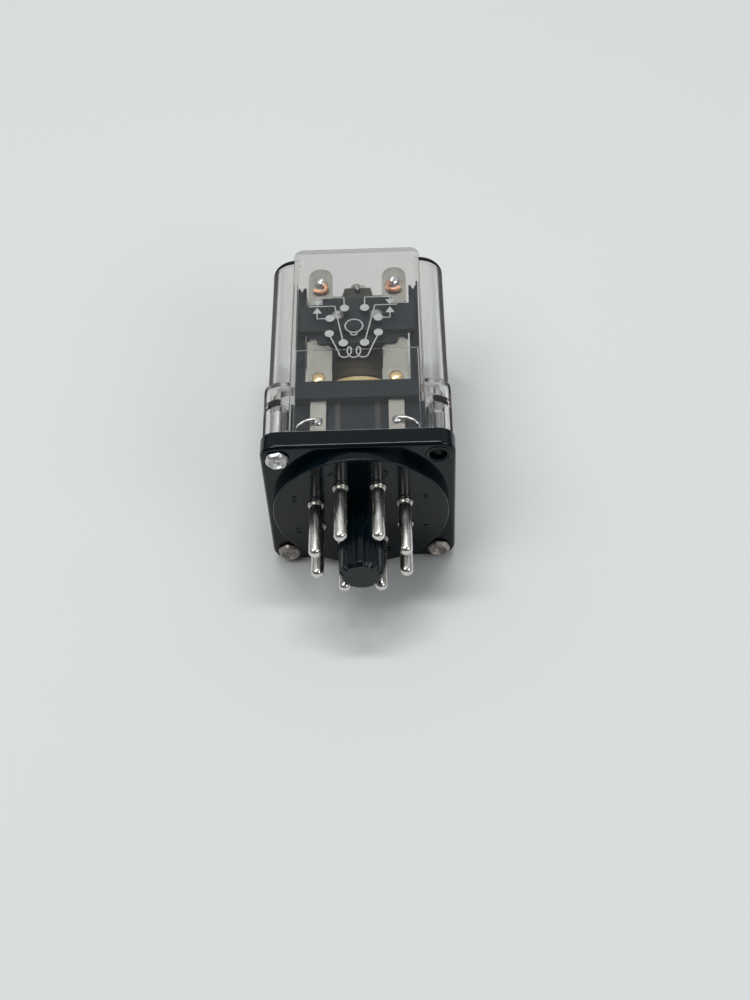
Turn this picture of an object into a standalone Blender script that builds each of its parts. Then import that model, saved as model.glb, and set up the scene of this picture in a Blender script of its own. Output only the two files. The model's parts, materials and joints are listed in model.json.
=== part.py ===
"""Eight-pin plug-in relay in a clear cover. Metres, +Z up.

The relay lies on its side: the pins point along -Y, the clear cover reaches along +Y.
Every size is measured from the front face of the base disc (y = 0), on the relay's own axis.
Fixed pieces hang from the empty relay_axis, moving ones from the empty armature_hinge.
"""

import math

import bmesh
import bpy
from mathutils import Vector

MM = 0.001

# Clearances
FIT = 0.2 * MM  # between two pieces that are fitted together
SEAT = 0.3 * MM  # under a piece that stands on another
LEAF = 0.08 * MM  # between a contact's head and its thin leaf
OVER = 1.0 * MM  # a cutter's reach past the faces that it opens

# Base moulding: flange, disc and keyed post
FLANGE_HALF = 17.3 * MM
FLANGE_CORNER = 3.0 * MM
FLANGE_FRONT = 2.15 * MM
FLANGE_THICKNESS = 3.7 * MM
FLANGE_BACK = FLANGE_FRONT + FLANGE_THICKNESS
FLANGE_EDGE = 0.7 * MM
DISC_INSET = 1.25 * MM
DISC_RADIUS = FLANGE_HALF - DISC_INSET
POST_RADIUS = 3.95 * MM
POST_LENGTH = 13.84 * MM
POST_CHAMFER = 0.75 * MM
POST_TIP_RADIUS = POST_RADIUS - 0.8 * POST_CHAMFER
POST_FLUTES = 12
POST_FLUTE_DEPTH = 0.25 * MM
KEY_HALF_WIDTH = 1.1 * MM
KEY_HEIGHT = 1.0 * MM
KEY_SETBACK = 1.6 * MM  # from the post's end

# Plug pins, numbered clockwise from the key when looked at from the pin side
PIN_COUNT = 8
PIN_INSET = 7.325 * MM  # from the disc's rim to the pin circle
PIN_CIRCLE = DISC_RADIUS - PIN_INSET
PIN_RADIUS = 1.18 * MM
PIN_LENGTH = 11.325 * MM
COLLAR_RADIUS = 1.45 * MM
COLLAR_HEIGHT = 0.3 * MM
PIN_HOLE_RADIUS = COLLAR_RADIUS + FIT
PIN_HEAD_RADIUS = 1.8 * MM
PIN_HEAD_HEIGHT = 0.5 * MM
TAIL_RADIUS = 0.8 * MM
TAIL_LENGTH = 2.75 * MM
TAIL_END = FLANGE_BACK + TAIL_LENGTH

# Clear cover
COVER_LENGTH = 51.0 * MM
COVER_WALL = 1.0 * MM
COVER_FRONT = FLANGE_BACK + FIT
SKIRT_DEPTH = 11.95 * MM
SKIRT_END = FLANGE_BACK + SKIRT_DEPTH
SKIRT_INSET = 0.35 * MM  # from the flange's edge
SKIRT_HALF = FLANGE_HALF - SKIRT_INSET
SKIRT_CORNER = 3.0 * MM
SIDE_LEDGE = 0.2 * MM  # from the skirt to the body, at the sides
BODY_HALF_WIDTH = SKIRT_HALF - SIDE_LEDGE
BODY_DRAFT = 0.25 * MM
BODY_CORNER = 4.75 * MM
PANEL_INSET = 0.3 * MM  # from the flange's edge
PANEL_HEIGHT = FLANGE_HALF - PANEL_INSET
PANEL_RISE = 2.5 * MM
BODY_HALF_HEIGHT = PANEL_HEIGHT - PANEL_RISE
PANEL_SHOULDER = 4.4 * MM  # from the body's side to the panel's
PANEL_HALF_WIDTH = BODY_HALF_WIDTH - PANEL_SHOULDER
PANEL_DRAFT = 0.4 * MM
PANEL_CORNER = 1.8 * MM
PANEL_SIDE_WALL = 0.85 * MM
GATE_RADIUS = 0.9 * MM
GATE_HEIGHT = 0.3 * MM
GATE_INSET = 3.35 * MM
GATE_X = PANEL_HALF_WIDTH - GATE_INSET

# The room inside the cover
INNER_FRONT = PANEL_HEIGHT - COVER_WALL
INNER_END = COVER_LENGTH - COVER_WALL
INNER_HALF_WIDTH = PANEL_HALF_WIDTH - PANEL_DRAFT - PANEL_SIDE_WALL

# Drive rivets that hold the cover's corner bosses to the flange
RIVET_INSET = 3.1 * MM  # from the flange's edge
RIVET_SPACING = FLANGE_HALF - RIVET_INSET  # from the axis, in x and in z
RIVET_HOLE_RADIUS = 1.6 * MM
RIVET_HEAD_RADIUS = 2.2 * MM
RIVET_HEAD_HEIGHT = 0.95 * MM
RIVET_RADIUS = 1.3 * MM
RIVET_REACH = 6.05 * MM
RIVET_END = FLANGE_BACK + RIVET_REACH
BOSS_RADIUS = 2.0 * MM
BOSS_HEIGHT = 8.15 * MM
BOSS_END = FLANGE_BACK + BOSS_HEIGHT
BOSS_BORE_RADIUS = 1.5 * MM
BOSS_FLOOR = 1.5 * MM
BOSS_BORE_END = BOSS_END - BOSS_FLOOR

# Card and armature, set back from the panel
CARD_CLEARANCE = 1.4 * MM  # to the inside of the panel
CARD_FRONT = INNER_FRONT - CARD_CLEARANCE
CARD_THICKNESS = 2.7 * MM
CARD_BACK = CARD_FRONT - CARD_THICKNESS
WING_THICKNESS = 1.3 * MM
CARD_WING_BACK = CARD_FRONT - WING_THICKNESS
CARD_STEP = CARD_WING_BACK + 0.1 * MM
CARD_HALF_WIDTH = INNER_HALF_WIDTH - SEAT
ARMATURE_FRONT = CARD_BACK - SEAT
LEG_THICKNESS = 1.4 * MM

# Contact block: the black moulding that carries the contacts and the magnet
DECK_HEIGHT = 12.75 * MM  # above the flange
DECK_THICKNESS = 1.8 * MM
DECK_TOP = FLANGE_BACK + DECK_HEIGHT
DECK_BOTTOM = DECK_TOP - DECK_THICKNESS
BLOCK_FOOT = FLANGE_BACK + SEAT
BLOCK_OVERHANG = 0.4 * MM  # past the card's edge
BLOCK_HALF_WIDTH = CARD_HALF_WIDTH + BLOCK_OVERHANG
RISER_FLARE = 0.9 * MM
RISER_HALF_WIDTH = BLOCK_HALF_WIDTH + RISER_FLARE
RISER_FRONT = BODY_HALF_HEIGHT - COVER_WALL - SEAT
RISER_THICKNESS = 1.6 * MM
RISER_BACK = RISER_FRONT - RISER_THICKNESS
RIB_X = 3.6 * MM
RIB_WIDTH = 1.0 * MM
RIB_HEIGHT = 0.3 * MM
BAR_HEIGHT = 3.95 * MM
BAR_BOTTOM = DECK_TOP - BAR_HEIGHT
BAR_CLEARANCE = 0.8 * MM  # to the inside of the panel
BAR_FRONT = INNER_FRONT - BAR_CLEARANCE
BAR_LIP = 1.9 * MM
TROUGH_DEPTH = 1.5 * MM
TROUGH_WIDTH = 4.7 * MM
TROUGH_WALL = 1.2 * MM
TROUGH_FLOOR = DECK_TOP - TROUGH_DEPTH
TROUGH_FRONT = BAR_FRONT - BAR_LIP
TROUGH_BACK = TROUGH_FRONT - TROUGH_WIDTH
BAR_BACK = TROUGH_BACK - TROUGH_WALL
PILLAR_STEP = 0.75 * MM  # past the card's edge
PILLAR_WIDTH = 1.75 * MM
PILLAR_OUTER = CARD_HALF_WIDTH + PILLAR_STEP
PILLAR_INNER = PILLAR_OUTER - PILLAR_WIDTH
PILLAR_CLEARANCE = 1.1 * MM  # to the card's wings
PILLAR_DEPTH = 8.2 * MM
PILLAR_FRONT = CARD_WING_BACK - PILLAR_CLEARANCE
PILLAR_BACK = PILLAR_FRONT - PILLAR_DEPTH
PILLAR_NOTCH = 1.1 * MM
WINDOW_MARGIN = 1.8 * MM
WINDOW_WIDTH = 2.2 * MM
WINDOW_OUTER = BLOCK_HALF_WIDTH - WINDOW_MARGIN
WINDOW_INNER = WINDOW_OUTER - WINDOW_WIDTH
WINDOW_FRONT = BAR_BACK - FIT
WINDOW_LENGTH = 13.6 * MM
WINDOW_BACK = WINDOW_FRONT - WINDOW_LENGTH
WIRE_NOTCH_RADIUS = 1.0 * MM
WIRE_NOTCH_X = BLOCK_HALF_WIDTH - SEAT
WIRE_NOTCH_Y = BLOCK_FOOT + 2.15 * WIRE_NOTCH_RADIUS

# Screws from the deck through the block into the base
SCREW_OFFSET = 1.75 * MM  # outside the pin circle
SCREW_Z = PIN_CIRCLE + SCREW_OFFSET
SCREW_RADIUS = 0.85 * MM
SCREW_HOLE_RADIUS = 1.1 * MM
SCREW_HEAD_RADIUS = 1.5 * MM
SCREW_HEAD_HEIGHT = 0.9 * MM
SCREW_DEPTH = 2.65 * MM
SCREW_END = FLANGE_BACK - SCREW_DEPTH
SCREW_BOSS_RADIUS = 1.7 * MM

# Magnet: bobbin, winding, frame, core and shading ring
STEEL = 1.6 * MM
COIL_CLEARANCE = 0.6 * MM  # to the armature's leg
BOBBIN_FLANGE = ARMATURE_FRONT - LEG_THICKNESS - COIL_CLEARANCE
WINDING_DEPTH = 0.6 * MM  # under the bobbin's flanges
WINDING_RADIUS = BOBBIN_FLANGE - WINDING_DEPTH
FRAME_CLEARANCE = 0.8 * MM  # from the bobbin to the frame's leg
FRAME_HALF_WIDTH = WINDOW_INNER - FIT
FRAME_FRONT = BOBBIN_FLANGE - STEEL
FRAME_BACK = -BOBBIN_FLANGE - FRAME_CLEARANCE - STEEL
PAD_HEIGHT = 3.25 * MM
PAD_MARGIN = 1.0 * MM  # inside the frame's edge
FRAME_BOTTOM = DECK_TOP + PAD_HEIGHT
PAD_HALF_WIDTH = FRAME_HALF_WIDTH - PAD_MARGIN
PAD_FRONT = FRAME_FRONT - PAD_MARGIN
PAD_BACK = FRAME_BACK + STEEL + 2 * PAD_MARGIN
HEADROOM = 9.0 * MM  # from the frame's knife edge to the inside of the cover's end
FRAME_TOP = INNER_END - HEADROOM
PILLAR_RISE = 3.7 * MM
PILLAR_TOP = FRAME_TOP + PILLAR_RISE
ANCHOR_HALF_WIDTH = 1.8 * MM
ANCHOR_HEIGHT = 5.6 * MM
ANCHOR_TOP = FRAME_TOP + ANCHOR_HEIGHT
CORE_RADIUS = 3.5 * MM
CORE_SHOULDER = FRAME_BOTTOM + STEEL + FIT
POLE_DROP = 0.7 * MM  # from the frame's knife edge
POLE_FACE = FRAME_TOP - POLE_DROP
STUD_RADIUS = 2.0 * MM
STUD_REACH = 2.4 * MM  # under the deck
STUD_END = DECK_BOTTOM - STUD_REACH
STUD_HOLE_RADIUS = 2.25 * MM
NUT_RADIUS = 3.2 * MM
NUT_HEIGHT = 1.5 * MM
RING_SLOT_NEAR = 0.8 * MM
RING_SLOT_WIDTH = 1.0 * MM
RING_SLOT_FAR = RING_SLOT_NEAR + RING_SLOT_WIDTH
RING_SLOT_DEPTH = 1.7 * MM
RING_WIDTH = 0.7 * MM
RING_BAR = 0.6 * MM
RING_HEIGHT = 1.3 * MM
BOBBIN_BORE = CORE_RADIUS + SEAT
BOBBIN_WALL = 0.8 * MM
BOBBIN_BARREL = BOBBIN_BORE + BOBBIN_WALL
BOBBIN_BOTTOM = FRAME_BOTTOM + STEEL + FIT
POLE_RISE = 2.1 * MM  # above the bobbin
BOBBIN_TOP = POLE_FACE - POLE_RISE
BOBBIN_FLANGE_THICKNESS = 1.3 * MM
BARREL_BOTTOM = BOBBIN_BOTTOM + BOBBIN_FLANGE_THICKNESS
BARREL_TOP = BOBBIN_TOP - BOBBIN_FLANGE_THICKNESS

# Armature on its hinge
HINGE_Y = FRAME_TOP + SEAT / 2
HINGE_Z = FRAME_BACK + STEEL / 2
ARMATURE_BOTTOM = FRAME_TOP + SEAT
ARMATURE_TOP = ARMATURE_BOTTOM + STEEL
ARMATURE_MARGIN = 0.8 * MM  # inside the frame's edge
ARMATURE_HALF_WIDTH = FRAME_HALF_WIDTH - ARMATURE_MARGIN
ARMATURE_BACK = FRAME_BACK
LEG_LENGTH = 7.5 * MM
LEG_END = FRAME_TOP - LEG_LENGTH
NOTCH_HALF_WIDTH = 2.2 * MM
NOTCH_DEPTH = 2.2 * MM
TONGUE_SHARE = 0.516  # of the armature's width
TONGUE_HALF_WIDTH = TONGUE_SHARE * ARMATURE_HALF_WIDTH
TONGUE_TAPER = 0.7 * MM
TONGUE_TIP_HALF_WIDTH = TONGUE_HALF_WIDTH - TONGUE_TAPER
TONGUE_HEIGHT = 4.0 * MM
TONGUE_TOP = FRAME_TOP + TONGUE_HEIGHT

# Insulating card, riveted to the armature's leg
CARD_DROP = 1.5 * MM  # from the frame's knife edge
CARD_TOP = FRAME_TOP - CARD_DROP
CARD_SHOULDER = 1.6 * MM
CARD_WING_TOP = CARD_TOP - CARD_SHOULDER
CARD_WING_HEIGHT = 6.6 * MM
CARD_WING_BOTTOM = CARD_WING_TOP - CARD_WING_HEIGHT
CARD_CORE_DROP = 0.55 * MM
CARD_CORE_BOTTOM = CARD_WING_BOTTOM - CARD_CORE_DROP
CARD_TONGUE_HEIGHT = 1.65 * MM
CARD_TONGUE_BOTTOM = CARD_CORE_BOTTOM - CARD_TONGUE_HEIGHT
CARD_TONGUE_CORNER = 1.0 * MM
CARD_CORE_MARGIN = 1.3 * MM
CARD_TONGUE_MARGIN = 3.2 * MM
CARD_TOP_MARGIN = 4.3 * MM
CARD_CORE_HALF_WIDTH = CARD_HALF_WIDTH - CARD_CORE_MARGIN
CARD_TONGUE_HALF_WIDTH = CARD_HALF_WIDTH - CARD_TONGUE_MARGIN
CARD_TOP_HALF_WIDTH = CARD_HALF_WIDTH - CARD_TOP_MARGIN

# Contacts. Each leaf is centred at x = +-CONTACT_X
CONTACT_MARGIN = 3.75 * MM  # from the card's edge
CONTACT_X = CARD_HALF_WIDTH - CONTACT_MARGIN
BLADE_INSET = 2.05 * MM  # from the card's front to the blade's back
BLADE_BACK = CARD_FRONT - BLADE_INSET
BLADE_THICKNESS = 0.35 * MM
BLADE_HALF_WIDTH = 2.35 * MM
BLADE_NECK_HALF_WIDTH = 1.9 * MM  # through the card
BLADE_TAB_HALF_WIDTH = 2.3 * MM  # above the card
BLADE_BOTTOM = DECK_TOP + 2 * FIT
BLADE_GAP = 0.5 * MM  # between the card and a blade's shoulders
BLADE_INNER_SHOULDER = CARD_TONGUE_BOTTOM - BLADE_GAP
BLADE_OUTER_SHOULDER = CARD_CORE_BOTTOM - BLADE_GAP
BLADE_TAB_BOTTOM = CARD_TOP + BLADE_GAP
BLADE_HEADROOM = 1.0 * MM
BLADE_TOP = INNER_END - BLADE_HEADROOM
BLADE_CONTACT_RISE = 1.7 * MM  # above the deck
BLADE_CONTACT_Y = DECK_TOP + BLADE_CONTACT_RISE
BLADE_CLEARANCE = 0.2 * MM
NC_STEP = 1.4 * MM  # from the blade's back to the terminal's
NC_BACK = BLADE_BACK + NC_STEP
NC_CONTACT_RISE = 1.5 * MM
NC_CONTACT_Y = DECK_TOP + NC_CONTACT_RISE
NO_STEP = 2.55 * MM
NO_BACK = BLADE_BACK - NO_STEP
NO_CONTACT_RISE = 0.8 * MM
NO_CONTACT_Y = DECK_TOP + NO_CONTACT_RISE
TERMINAL_THICKNESS = 0.4 * MM
TERMINAL_HALF_WIDTH = 2.45 * MM
TERMINAL_NECK_HALF_WIDTH = 1.45 * MM
TERMINAL_BOTTOM = DECK_TOP + FIT
NC_TERMINAL_RISE = 3.5 * MM
NC_TERMINAL_TOP = DECK_TOP + NC_TERMINAL_RISE
NO_TERMINAL_RISE = 2.6 * MM
NO_TERMINAL_TOP = DECK_TOP + NO_TERMINAL_RISE
NC_TERMINAL_FOOT = 1.05 * MM  # above the flange
NC_TERMINAL_END = FLANGE_BACK + NC_TERMINAL_FOOT
NO_TERMINAL_LIFT = 4.6 * MM  # above the end of the other terminal
NO_TERMINAL_END = NC_TERMINAL_END + NO_TERMINAL_LIFT
SOLDER_EYE_RISE = 2.9 * MM
SOLDER_EYE_Y = NC_TERMINAL_END + SOLDER_EYE_RISE
SOLDER_EYE_RADIUS = 0.6 * MM
TERMINAL_SLOT = 0.9 * MM
CONTACT_RADIUS = 1.25 * MM
CONTACT_SHANK_RADIUS = 0.5 * MM
CONTACT_HOLE_RADIUS = 0.65 * MM
CONTACT_HEAD = 0.27 * MM
CONTACT_DOME = 0.4 * MM

# Rivets between the two blades, through the card and the armature's leg
CARD_RIVET_GAP = 1.35 * MM  # from a blade's slot
CARD_RIVET_X = CONTACT_X - BLADE_NECK_HALF_WIDTH - BLADE_CLEARANCE - CARD_RIVET_GAP
CARD_RIVET_DROP = 4.5 * MM
CARD_RIVET_Y = CARD_TOP - CARD_RIVET_DROP
CARD_RIVET_RADIUS = 0.65 * MM
CARD_RIVET_HOLE_RADIUS = 0.8 * MM
CARD_RIVET_HEAD_RADIUS = 1.15 * MM
CARD_RIVET_HEAD_HEIGHT = 0.4 * MM

# Return spring, hooked between the frame's anchor tab and the armature's tongue
SPRING_RISE = 5.9 * MM
SPRING_Y = FRAME_TOP + SPRING_RISE
SPRING_COIL_RADIUS = 1.325 * MM
SPRING_WIRE_RADIUS = 0.175 * MM
SPRING_TURNS = 17
SPRING_STEPS = 9  # points on each turn
SPRING_MARGIN = 2.6 * MM
SPRING_HALF_LENGTH = ARMATURE_FRONT - SPRING_MARGIN
SPRING_HOOK_REACH = 0.55 * MM  # past the plate that it hooks
SPRING_HOOK_RISE = 0.9 * MM
SPRING_HOLE_RADIUS = 0.6 * MM
SPRING_HOLE_DROP = 1.0 * MM  # below the tongue's top
SPRING_HOLE_Y = TONGUE_TOP - SPRING_HOLE_DROP

# Wires
WIRE_RADIUS = 0.35 * MM
WIRE_DROP = 1.5 * MM  # a wire's bend below the bar
BRAID_RADIUS = 0.45 * MM
LEAD_STANDOFF = 1.5 * MM  # of a coil lead from the bobbin's edge
LEAD_ANGLE = -30.5  # degrees, round the coil
LEAD_RISE = 1.7 * MM
ROUTE_STEPS = 3  # points on each stretch of a wire's route

SIDES = {"left": -1, "right": 1}


# ---------------------------------------------------------------- materials

def paint(name, colour, roughness, metallic=0.0, alpha=1.0):
    """A Principled material."""
    made = bpy.data.materials.new(name)
    made.use_nodes = True
    shader = made.node_tree.nodes["Principled BSDF"]
    shader.inputs["Base Color"].default_value = (*colour, 1.0)
    shader.inputs["Roughness"].default_value = roughness
    shader.inputs["Metallic"].default_value = metallic
    shader.inputs["Alpha"].default_value = alpha
    return made


# ---------------------------------------------------------------- outlines

def arc(centre, radius, start, end, steps):
    """Points on an arc from start to end, in degrees, with both ends."""
    points = []
    for step in range(steps + 1):
        angle = math.radians(start + (end - start) * step / steps)
        points.append((centre[0] + radius * math.cos(angle), centre[1] + radius * math.sin(angle)))
    return points


def rectangle(a0, a1, b0, b1):
    return [(a0, b0), (a1, b0), (a1, b1), (a0, b1)]


def rounded_rectangle(half_a, half_b, radius, steps=5):
    """A rectangle round the origin, with its corners as arcs."""
    points = []
    for quarter, (sign_a, sign_b) in enumerate(((1, 1), (-1, 1), (-1, -1), (1, -1))):
        centre = (sign_a * (half_a - radius), sign_b * (half_b - radius))
        points += arc(centre, radius, 90 * quarter, 90 * quarter + 90, steps)
    return points


def post_outline():
    """The fluted post. It is left round near the key rib, which points down, along -Z."""
    pitch = 360 / POST_FLUTES
    points = arc((0, 0), POST_RADIUS, -90 - pitch * 4 / 3, -90 + pitch * 4 / 3, 4)
    for land in range(1, POST_FLUTES - 1):
        middle = -90 + pitch * land
        if land > 1:
            points += arc((0, 0), POST_RADIUS, middle - pitch / 3, middle + pitch / 3, 2)
        floor = POST_RADIUS - POST_FLUTE_DEPTH
        points += arc((0, 0), floor, middle + pitch * 0.4, middle + pitch * 0.6, 1)
    return points


# ---------------------------------------------------------------- meshes

def mesh_of(name, bm):
    """Turns the normals out and gives the finished mesh, shaded smooth up to its real edges."""
    bmesh.ops.recalc_face_normals(bm, faces=bm.faces)
    mesh = bpy.data.meshes.new(name)
    bm.to_mesh(mesh)
    bm.free()
    mesh.shade_smooth()
    mesh.set_sharp_from_angle(angle=math.radians(35))
    return mesh


def in_space(axis, along, point):
    """The point of an outline, put in space: outlines lie across the axis, in the order x, y, z."""
    a, b = point
    return {"X": (along, a, b), "Y": (a, along, b), "Z": (a, b, along)}[axis]


def loft(sections, axis="Y"):
    """A closed skin through outlines that have the same number of points, each (along, outline)."""
    bm = bmesh.new()
    rings = []
    for along, outline in sections:
        rings.append([bm.verts.new(in_space(axis, along, point)) for point in outline])
    for lower, upper in zip(rings, rings[1:]):
        for index, vert in enumerate(lower):
            after = (index + 1) % len(lower)
            bm.faces.new((vert, lower[after], upper[after], upper[index]))
    bm.faces.new(rings[0])
    bm.faces.new(rings[-1])
    return bm


def prism(outline, axis, start, end):
    """An outline extruded along an axis."""
    bm = bmesh.new()
    face = bm.faces.new([bm.verts.new(in_space(axis, start, point)) for point in outline])
    extruded = bmesh.ops.extrude_face_region(bm, geom=[face])["geom"]
    moved = [item for item in extruded if isinstance(item, bmesh.types.BMVert)]
    bmesh.ops.translate(bm, verts=moved, vec=Vector(in_space(axis, end - start, (0, 0))))
    return bm


def box(x0, x1, y0, y1, z0, z1):
    return prism(rectangle(x0, x1, z0, z1), "Y", y0, y1)


def turned(profile, sides, axis="Y", closed=False):
    """A profile of (radius, along) points spun about an axis. A closed profile leaves a bore."""
    bm = bmesh.new()
    verts = [bm.verts.new(in_space(axis, along, (radius, 0))) for radius, along in profile]
    edges = [bm.edges.new(pair) for pair in zip(verts, verts[1:])]
    if closed:
        edges.append(bm.edges.new((verts[-1], verts[0])))
    spin_axis = Vector(in_space(axis, 1, (0, 0)))
    bmesh.ops.spin(
        bm, geom=verts + edges, axis=spin_axis, cent=(0, 0, 0), angle=math.tau, steps=sides
    )
    bmesh.ops.remove_doubles(bm, verts=bm.verts, dist=0.001 * MM)
    return bm


def cylinders(centres, radius, start, end, axis="Y", sides=20):
    """One mesh of equal cylinders along an axis, with their centres across it."""
    bm = bmesh.new()
    for centre in centres:
        outline = arc(centre, radius, 0, 360, sides)[:-1]
        single = prism(outline, axis, start, end)
        holder = bpy.data.meshes.new("holder")
        single.to_mesh(holder)
        single.free()
        bm.from_mesh(holder)
        bpy.data.meshes.remove(holder)
    return bm


# ---------------------------------------------------------------- objects

def hang(obj, parent, location=(0, 0, 0)):
    """Puts an object in the scene at a place in the relay's own frame."""
    bpy.context.scene.collection.objects.link(obj)
    if parent is not None:
        obj.parent = parent
        if parent.name == "armature_hinge":
            location = Vector(location) - parent.location
    obj.location = location
    return obj


def piece(name, bm, material, parent, location=(0, 0, 0)):
    """A named sub-part made from a bmesh."""
    mesh = mesh_of(name, bm)
    mesh.materials.append(material)
    return hang(bpy.data.objects.new(name, mesh), parent, location)


def shape_with(target, bm, operation):
    """Joins a helper shape to a sub-part or cuts it out. The helper stays, hidden from the render."""
    label = f"{target.name}_{operation.lower()}_{len(target.modifiers)}"
    helper = hang(bpy.data.objects.new(label, mesh_of(label, bm)), relay_axis)
    helper.hide_render = True
    helper.display_type = "WIRE"
    modifier = target.modifiers.new(label, "BOOLEAN")
    modifier.operation = operation
    modifier.object = helper


def add(target, bm):
    shape_with(target, bm, "UNION")


def cut(target, bm):
    shape_with(target, bm, "DIFFERENCE")


def smooth_route(points):
    """Points on a smooth curve through a wire's route, by Catmull-Rom."""
    knots = [Vector(point) for point in points]
    knots = [2 * knots[0] - knots[1], *knots, 2 * knots[-1] - knots[-2]]
    route = []
    for before, start, end, after in zip(knots, knots[1:], knots[2:], knots[3:]):
        for step in range(ROUTE_STEPS):
            t = step / ROUTE_STEPS
            route.append(0.5 * (
                2 * start
                + (end - before) * t
                + (2 * before - 5 * start + 4 * end - after) * t**2
                + (3 * start - before - 3 * end + after) * t**3
            ))
    route.append(knots[-2])
    return route


def wire(name, route, radius, material, parent, bevel_resolution=2):
    """A round wire along a list of points."""
    curve = bpy.data.curves.new(name, "CURVE")
    curve.dimensions = "3D"
    curve.bevel_depth = radius
    curve.bevel_resolution = bevel_resolution
    curve.use_fill_caps = True
    spline = curve.splines.new("POLY")
    spline.points.add(len(route) - 1)
    for knot, point in zip(spline.points, route):
        knot.co = (*point, 1.0)
    curve.materials.append(material)
    return hang(bpy.data.objects.new(name, curve), parent)


# ---------------------------------------------------------------- base, pins, cover

def pin_place(number):
    """The (x, z) of a pin: pin 1 is just left of the key, and the numbers run clockwise."""
    angle = math.radians(-90 - (number - 0.5) * 360 / PIN_COUNT)
    return PIN_CIRCLE * math.cos(angle), PIN_CIRCLE * math.sin(angle)


def corner_places():
    return [(a * RIVET_SPACING, b * RIVET_SPACING) for a in (-1, 1) for b in (-1, 1)]


def build_base():
    outline = rounded_rectangle(FLANGE_HALF, FLANGE_HALF, FLANGE_CORNER)
    flange = prism(outline, "Y", FLANGE_FRONT, FLANGE_BACK)
    front_rim = [
        edge for edge in flange.edges
        if all(abs(vert.co.y - FLANGE_FRONT) < 0.01 * MM for vert in edge.verts)
    ]
    bmesh.ops.bevel(
        flange, geom=front_rim, offset=FLANGE_EDGE, segments=2, profile=0.5, affect="EDGES"
    )
    base = piece("base", flange, paint("base_phenolic", (0.012, 0.013, 0.014), 0.22), relay_axis)
    inside = FLANGE_BACK - OVER
    add(base, cylinders([(0, 0)], DISC_RADIUS, 0, inside, sides=80))
    outline = post_outline()
    tip = [Vector(point).normalized() * POST_TIP_RADIUS for point in outline]
    add(base, loft([
        (-POST_LENGTH, [tuple(point) for point in tip]),
        (-POST_LENGTH + POST_CHAMFER, outline),
        (inside, outline),
    ]))
    add(base, box(
        -KEY_HALF_WIDTH, KEY_HALF_WIDTH, -POST_LENGTH + KEY_SETBACK, inside, -POST_RADIUS - KEY_HEIGHT, 0
    ))
    pins = [pin_place(number) for number in range(1, PIN_COUNT + 1)]
    cut(base, cylinders(pins, PIN_HOLE_RADIUS, -OVER, FLANGE_BACK + OVER, sides=16))
    cut(base, cylinders(corner_places(), RIVET_HOLE_RADIUS, OVER, FLANGE_BACK + OVER))
    screws = [(0, SCREW_Z), (0, -SCREW_Z)]
    cut(base, cylinders(screws, SCREW_HOLE_RADIUS, SCREW_END - FIT, FLANGE_BACK + OVER, sides=12))


def pin_profile():
    """From the rounded tip, over the collar and the clinched head, to the solder tail."""
    tip = arc((0, -PIN_LENGTH + PIN_RADIUS), PIN_RADIUS, -90, 0, 4)
    tip[0] = (0, -PIN_LENGTH)
    head = FLANGE_BACK + FIT
    return [
        *tip,
        (PIN_RADIUS, -COLLAR_HEIGHT),
        (COLLAR_RADIUS, -COLLAR_HEIGHT),
        (COLLAR_RADIUS, head),
        (PIN_HEAD_RADIUS, head),
        (PIN_HEAD_RADIUS, head + PIN_HEAD_HEIGHT),
        (TAIL_RADIUS, head + PIN_HEAD_HEIGHT),
        (TAIL_RADIUS, TAIL_END),
        (0, TAIL_END),
    ]


def build_pins():
    material = paint("pin_nickel", (0.72, 0.70, 0.66), 0.25, 1.0)
    mesh = mesh_of("pin", turned(pin_profile(), 16))
    mesh.materials.append(material)
    for number in range(1, PIN_COUNT + 1):
        x, z = pin_place(number)
        hang(bpy.data.objects.new(f"pin_{number}", mesh), relay_axis, (x, 0, z))


def rivet_profile():
    """A flared head with a dimple, and a shank that bites in the cover's boss."""
    back = FLANGE_FRONT - FIT
    head = RIVET_HEAD_RADIUS
    height = RIVET_HEAD_HEIGHT
    return [
        (0, back - 0.42 * height),
        (0.32 * head, back - 0.42 * height),
        (0.5 * head, back - 0.84 * height),
        (0.73 * head, back - height),
        (head, back - 0.53 * height),
        (head, back),
        (RIVET_RADIUS, back),
        (RIVET_RADIUS, RIVET_END - 0.3 * RIVET_RADIUS),
        (0.7 * RIVET_RADIUS, RIVET_END),
        (0, RIVET_END),
    ]


def build_cover_rivets():
    """Three of the four corner holes hold a rivet. The one at +x, +z is empty."""
    material = paint("rivet_steel", (0.62, 0.61, 0.58), 0.38, 1.0)
    mesh = mesh_of("cover_rivet", turned(rivet_profile(), 12))
    mesh.materials.append(material)
    filled = [place for place in corner_places() if min(place) < 0]
    for number, (x, z) in enumerate(filled, 1):
        hang(bpy.data.objects.new(f"cover_rivet_{number}", mesh), relay_axis, (x, 0, z))


def panel_outline(half_width, length, corner):
    """The plan of the two raised panels, with round corners at the far end."""
    far = half_width - PANEL_DRAFT
    right = arc((far - corner, length - corner), corner, 0, 90, 4)
    left = arc((-far + corner, length - corner), corner, 90, 180, 4)
    return [(half_width, COVER_FRONT), *right, *left, (-half_width, COVER_FRONT)]


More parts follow.
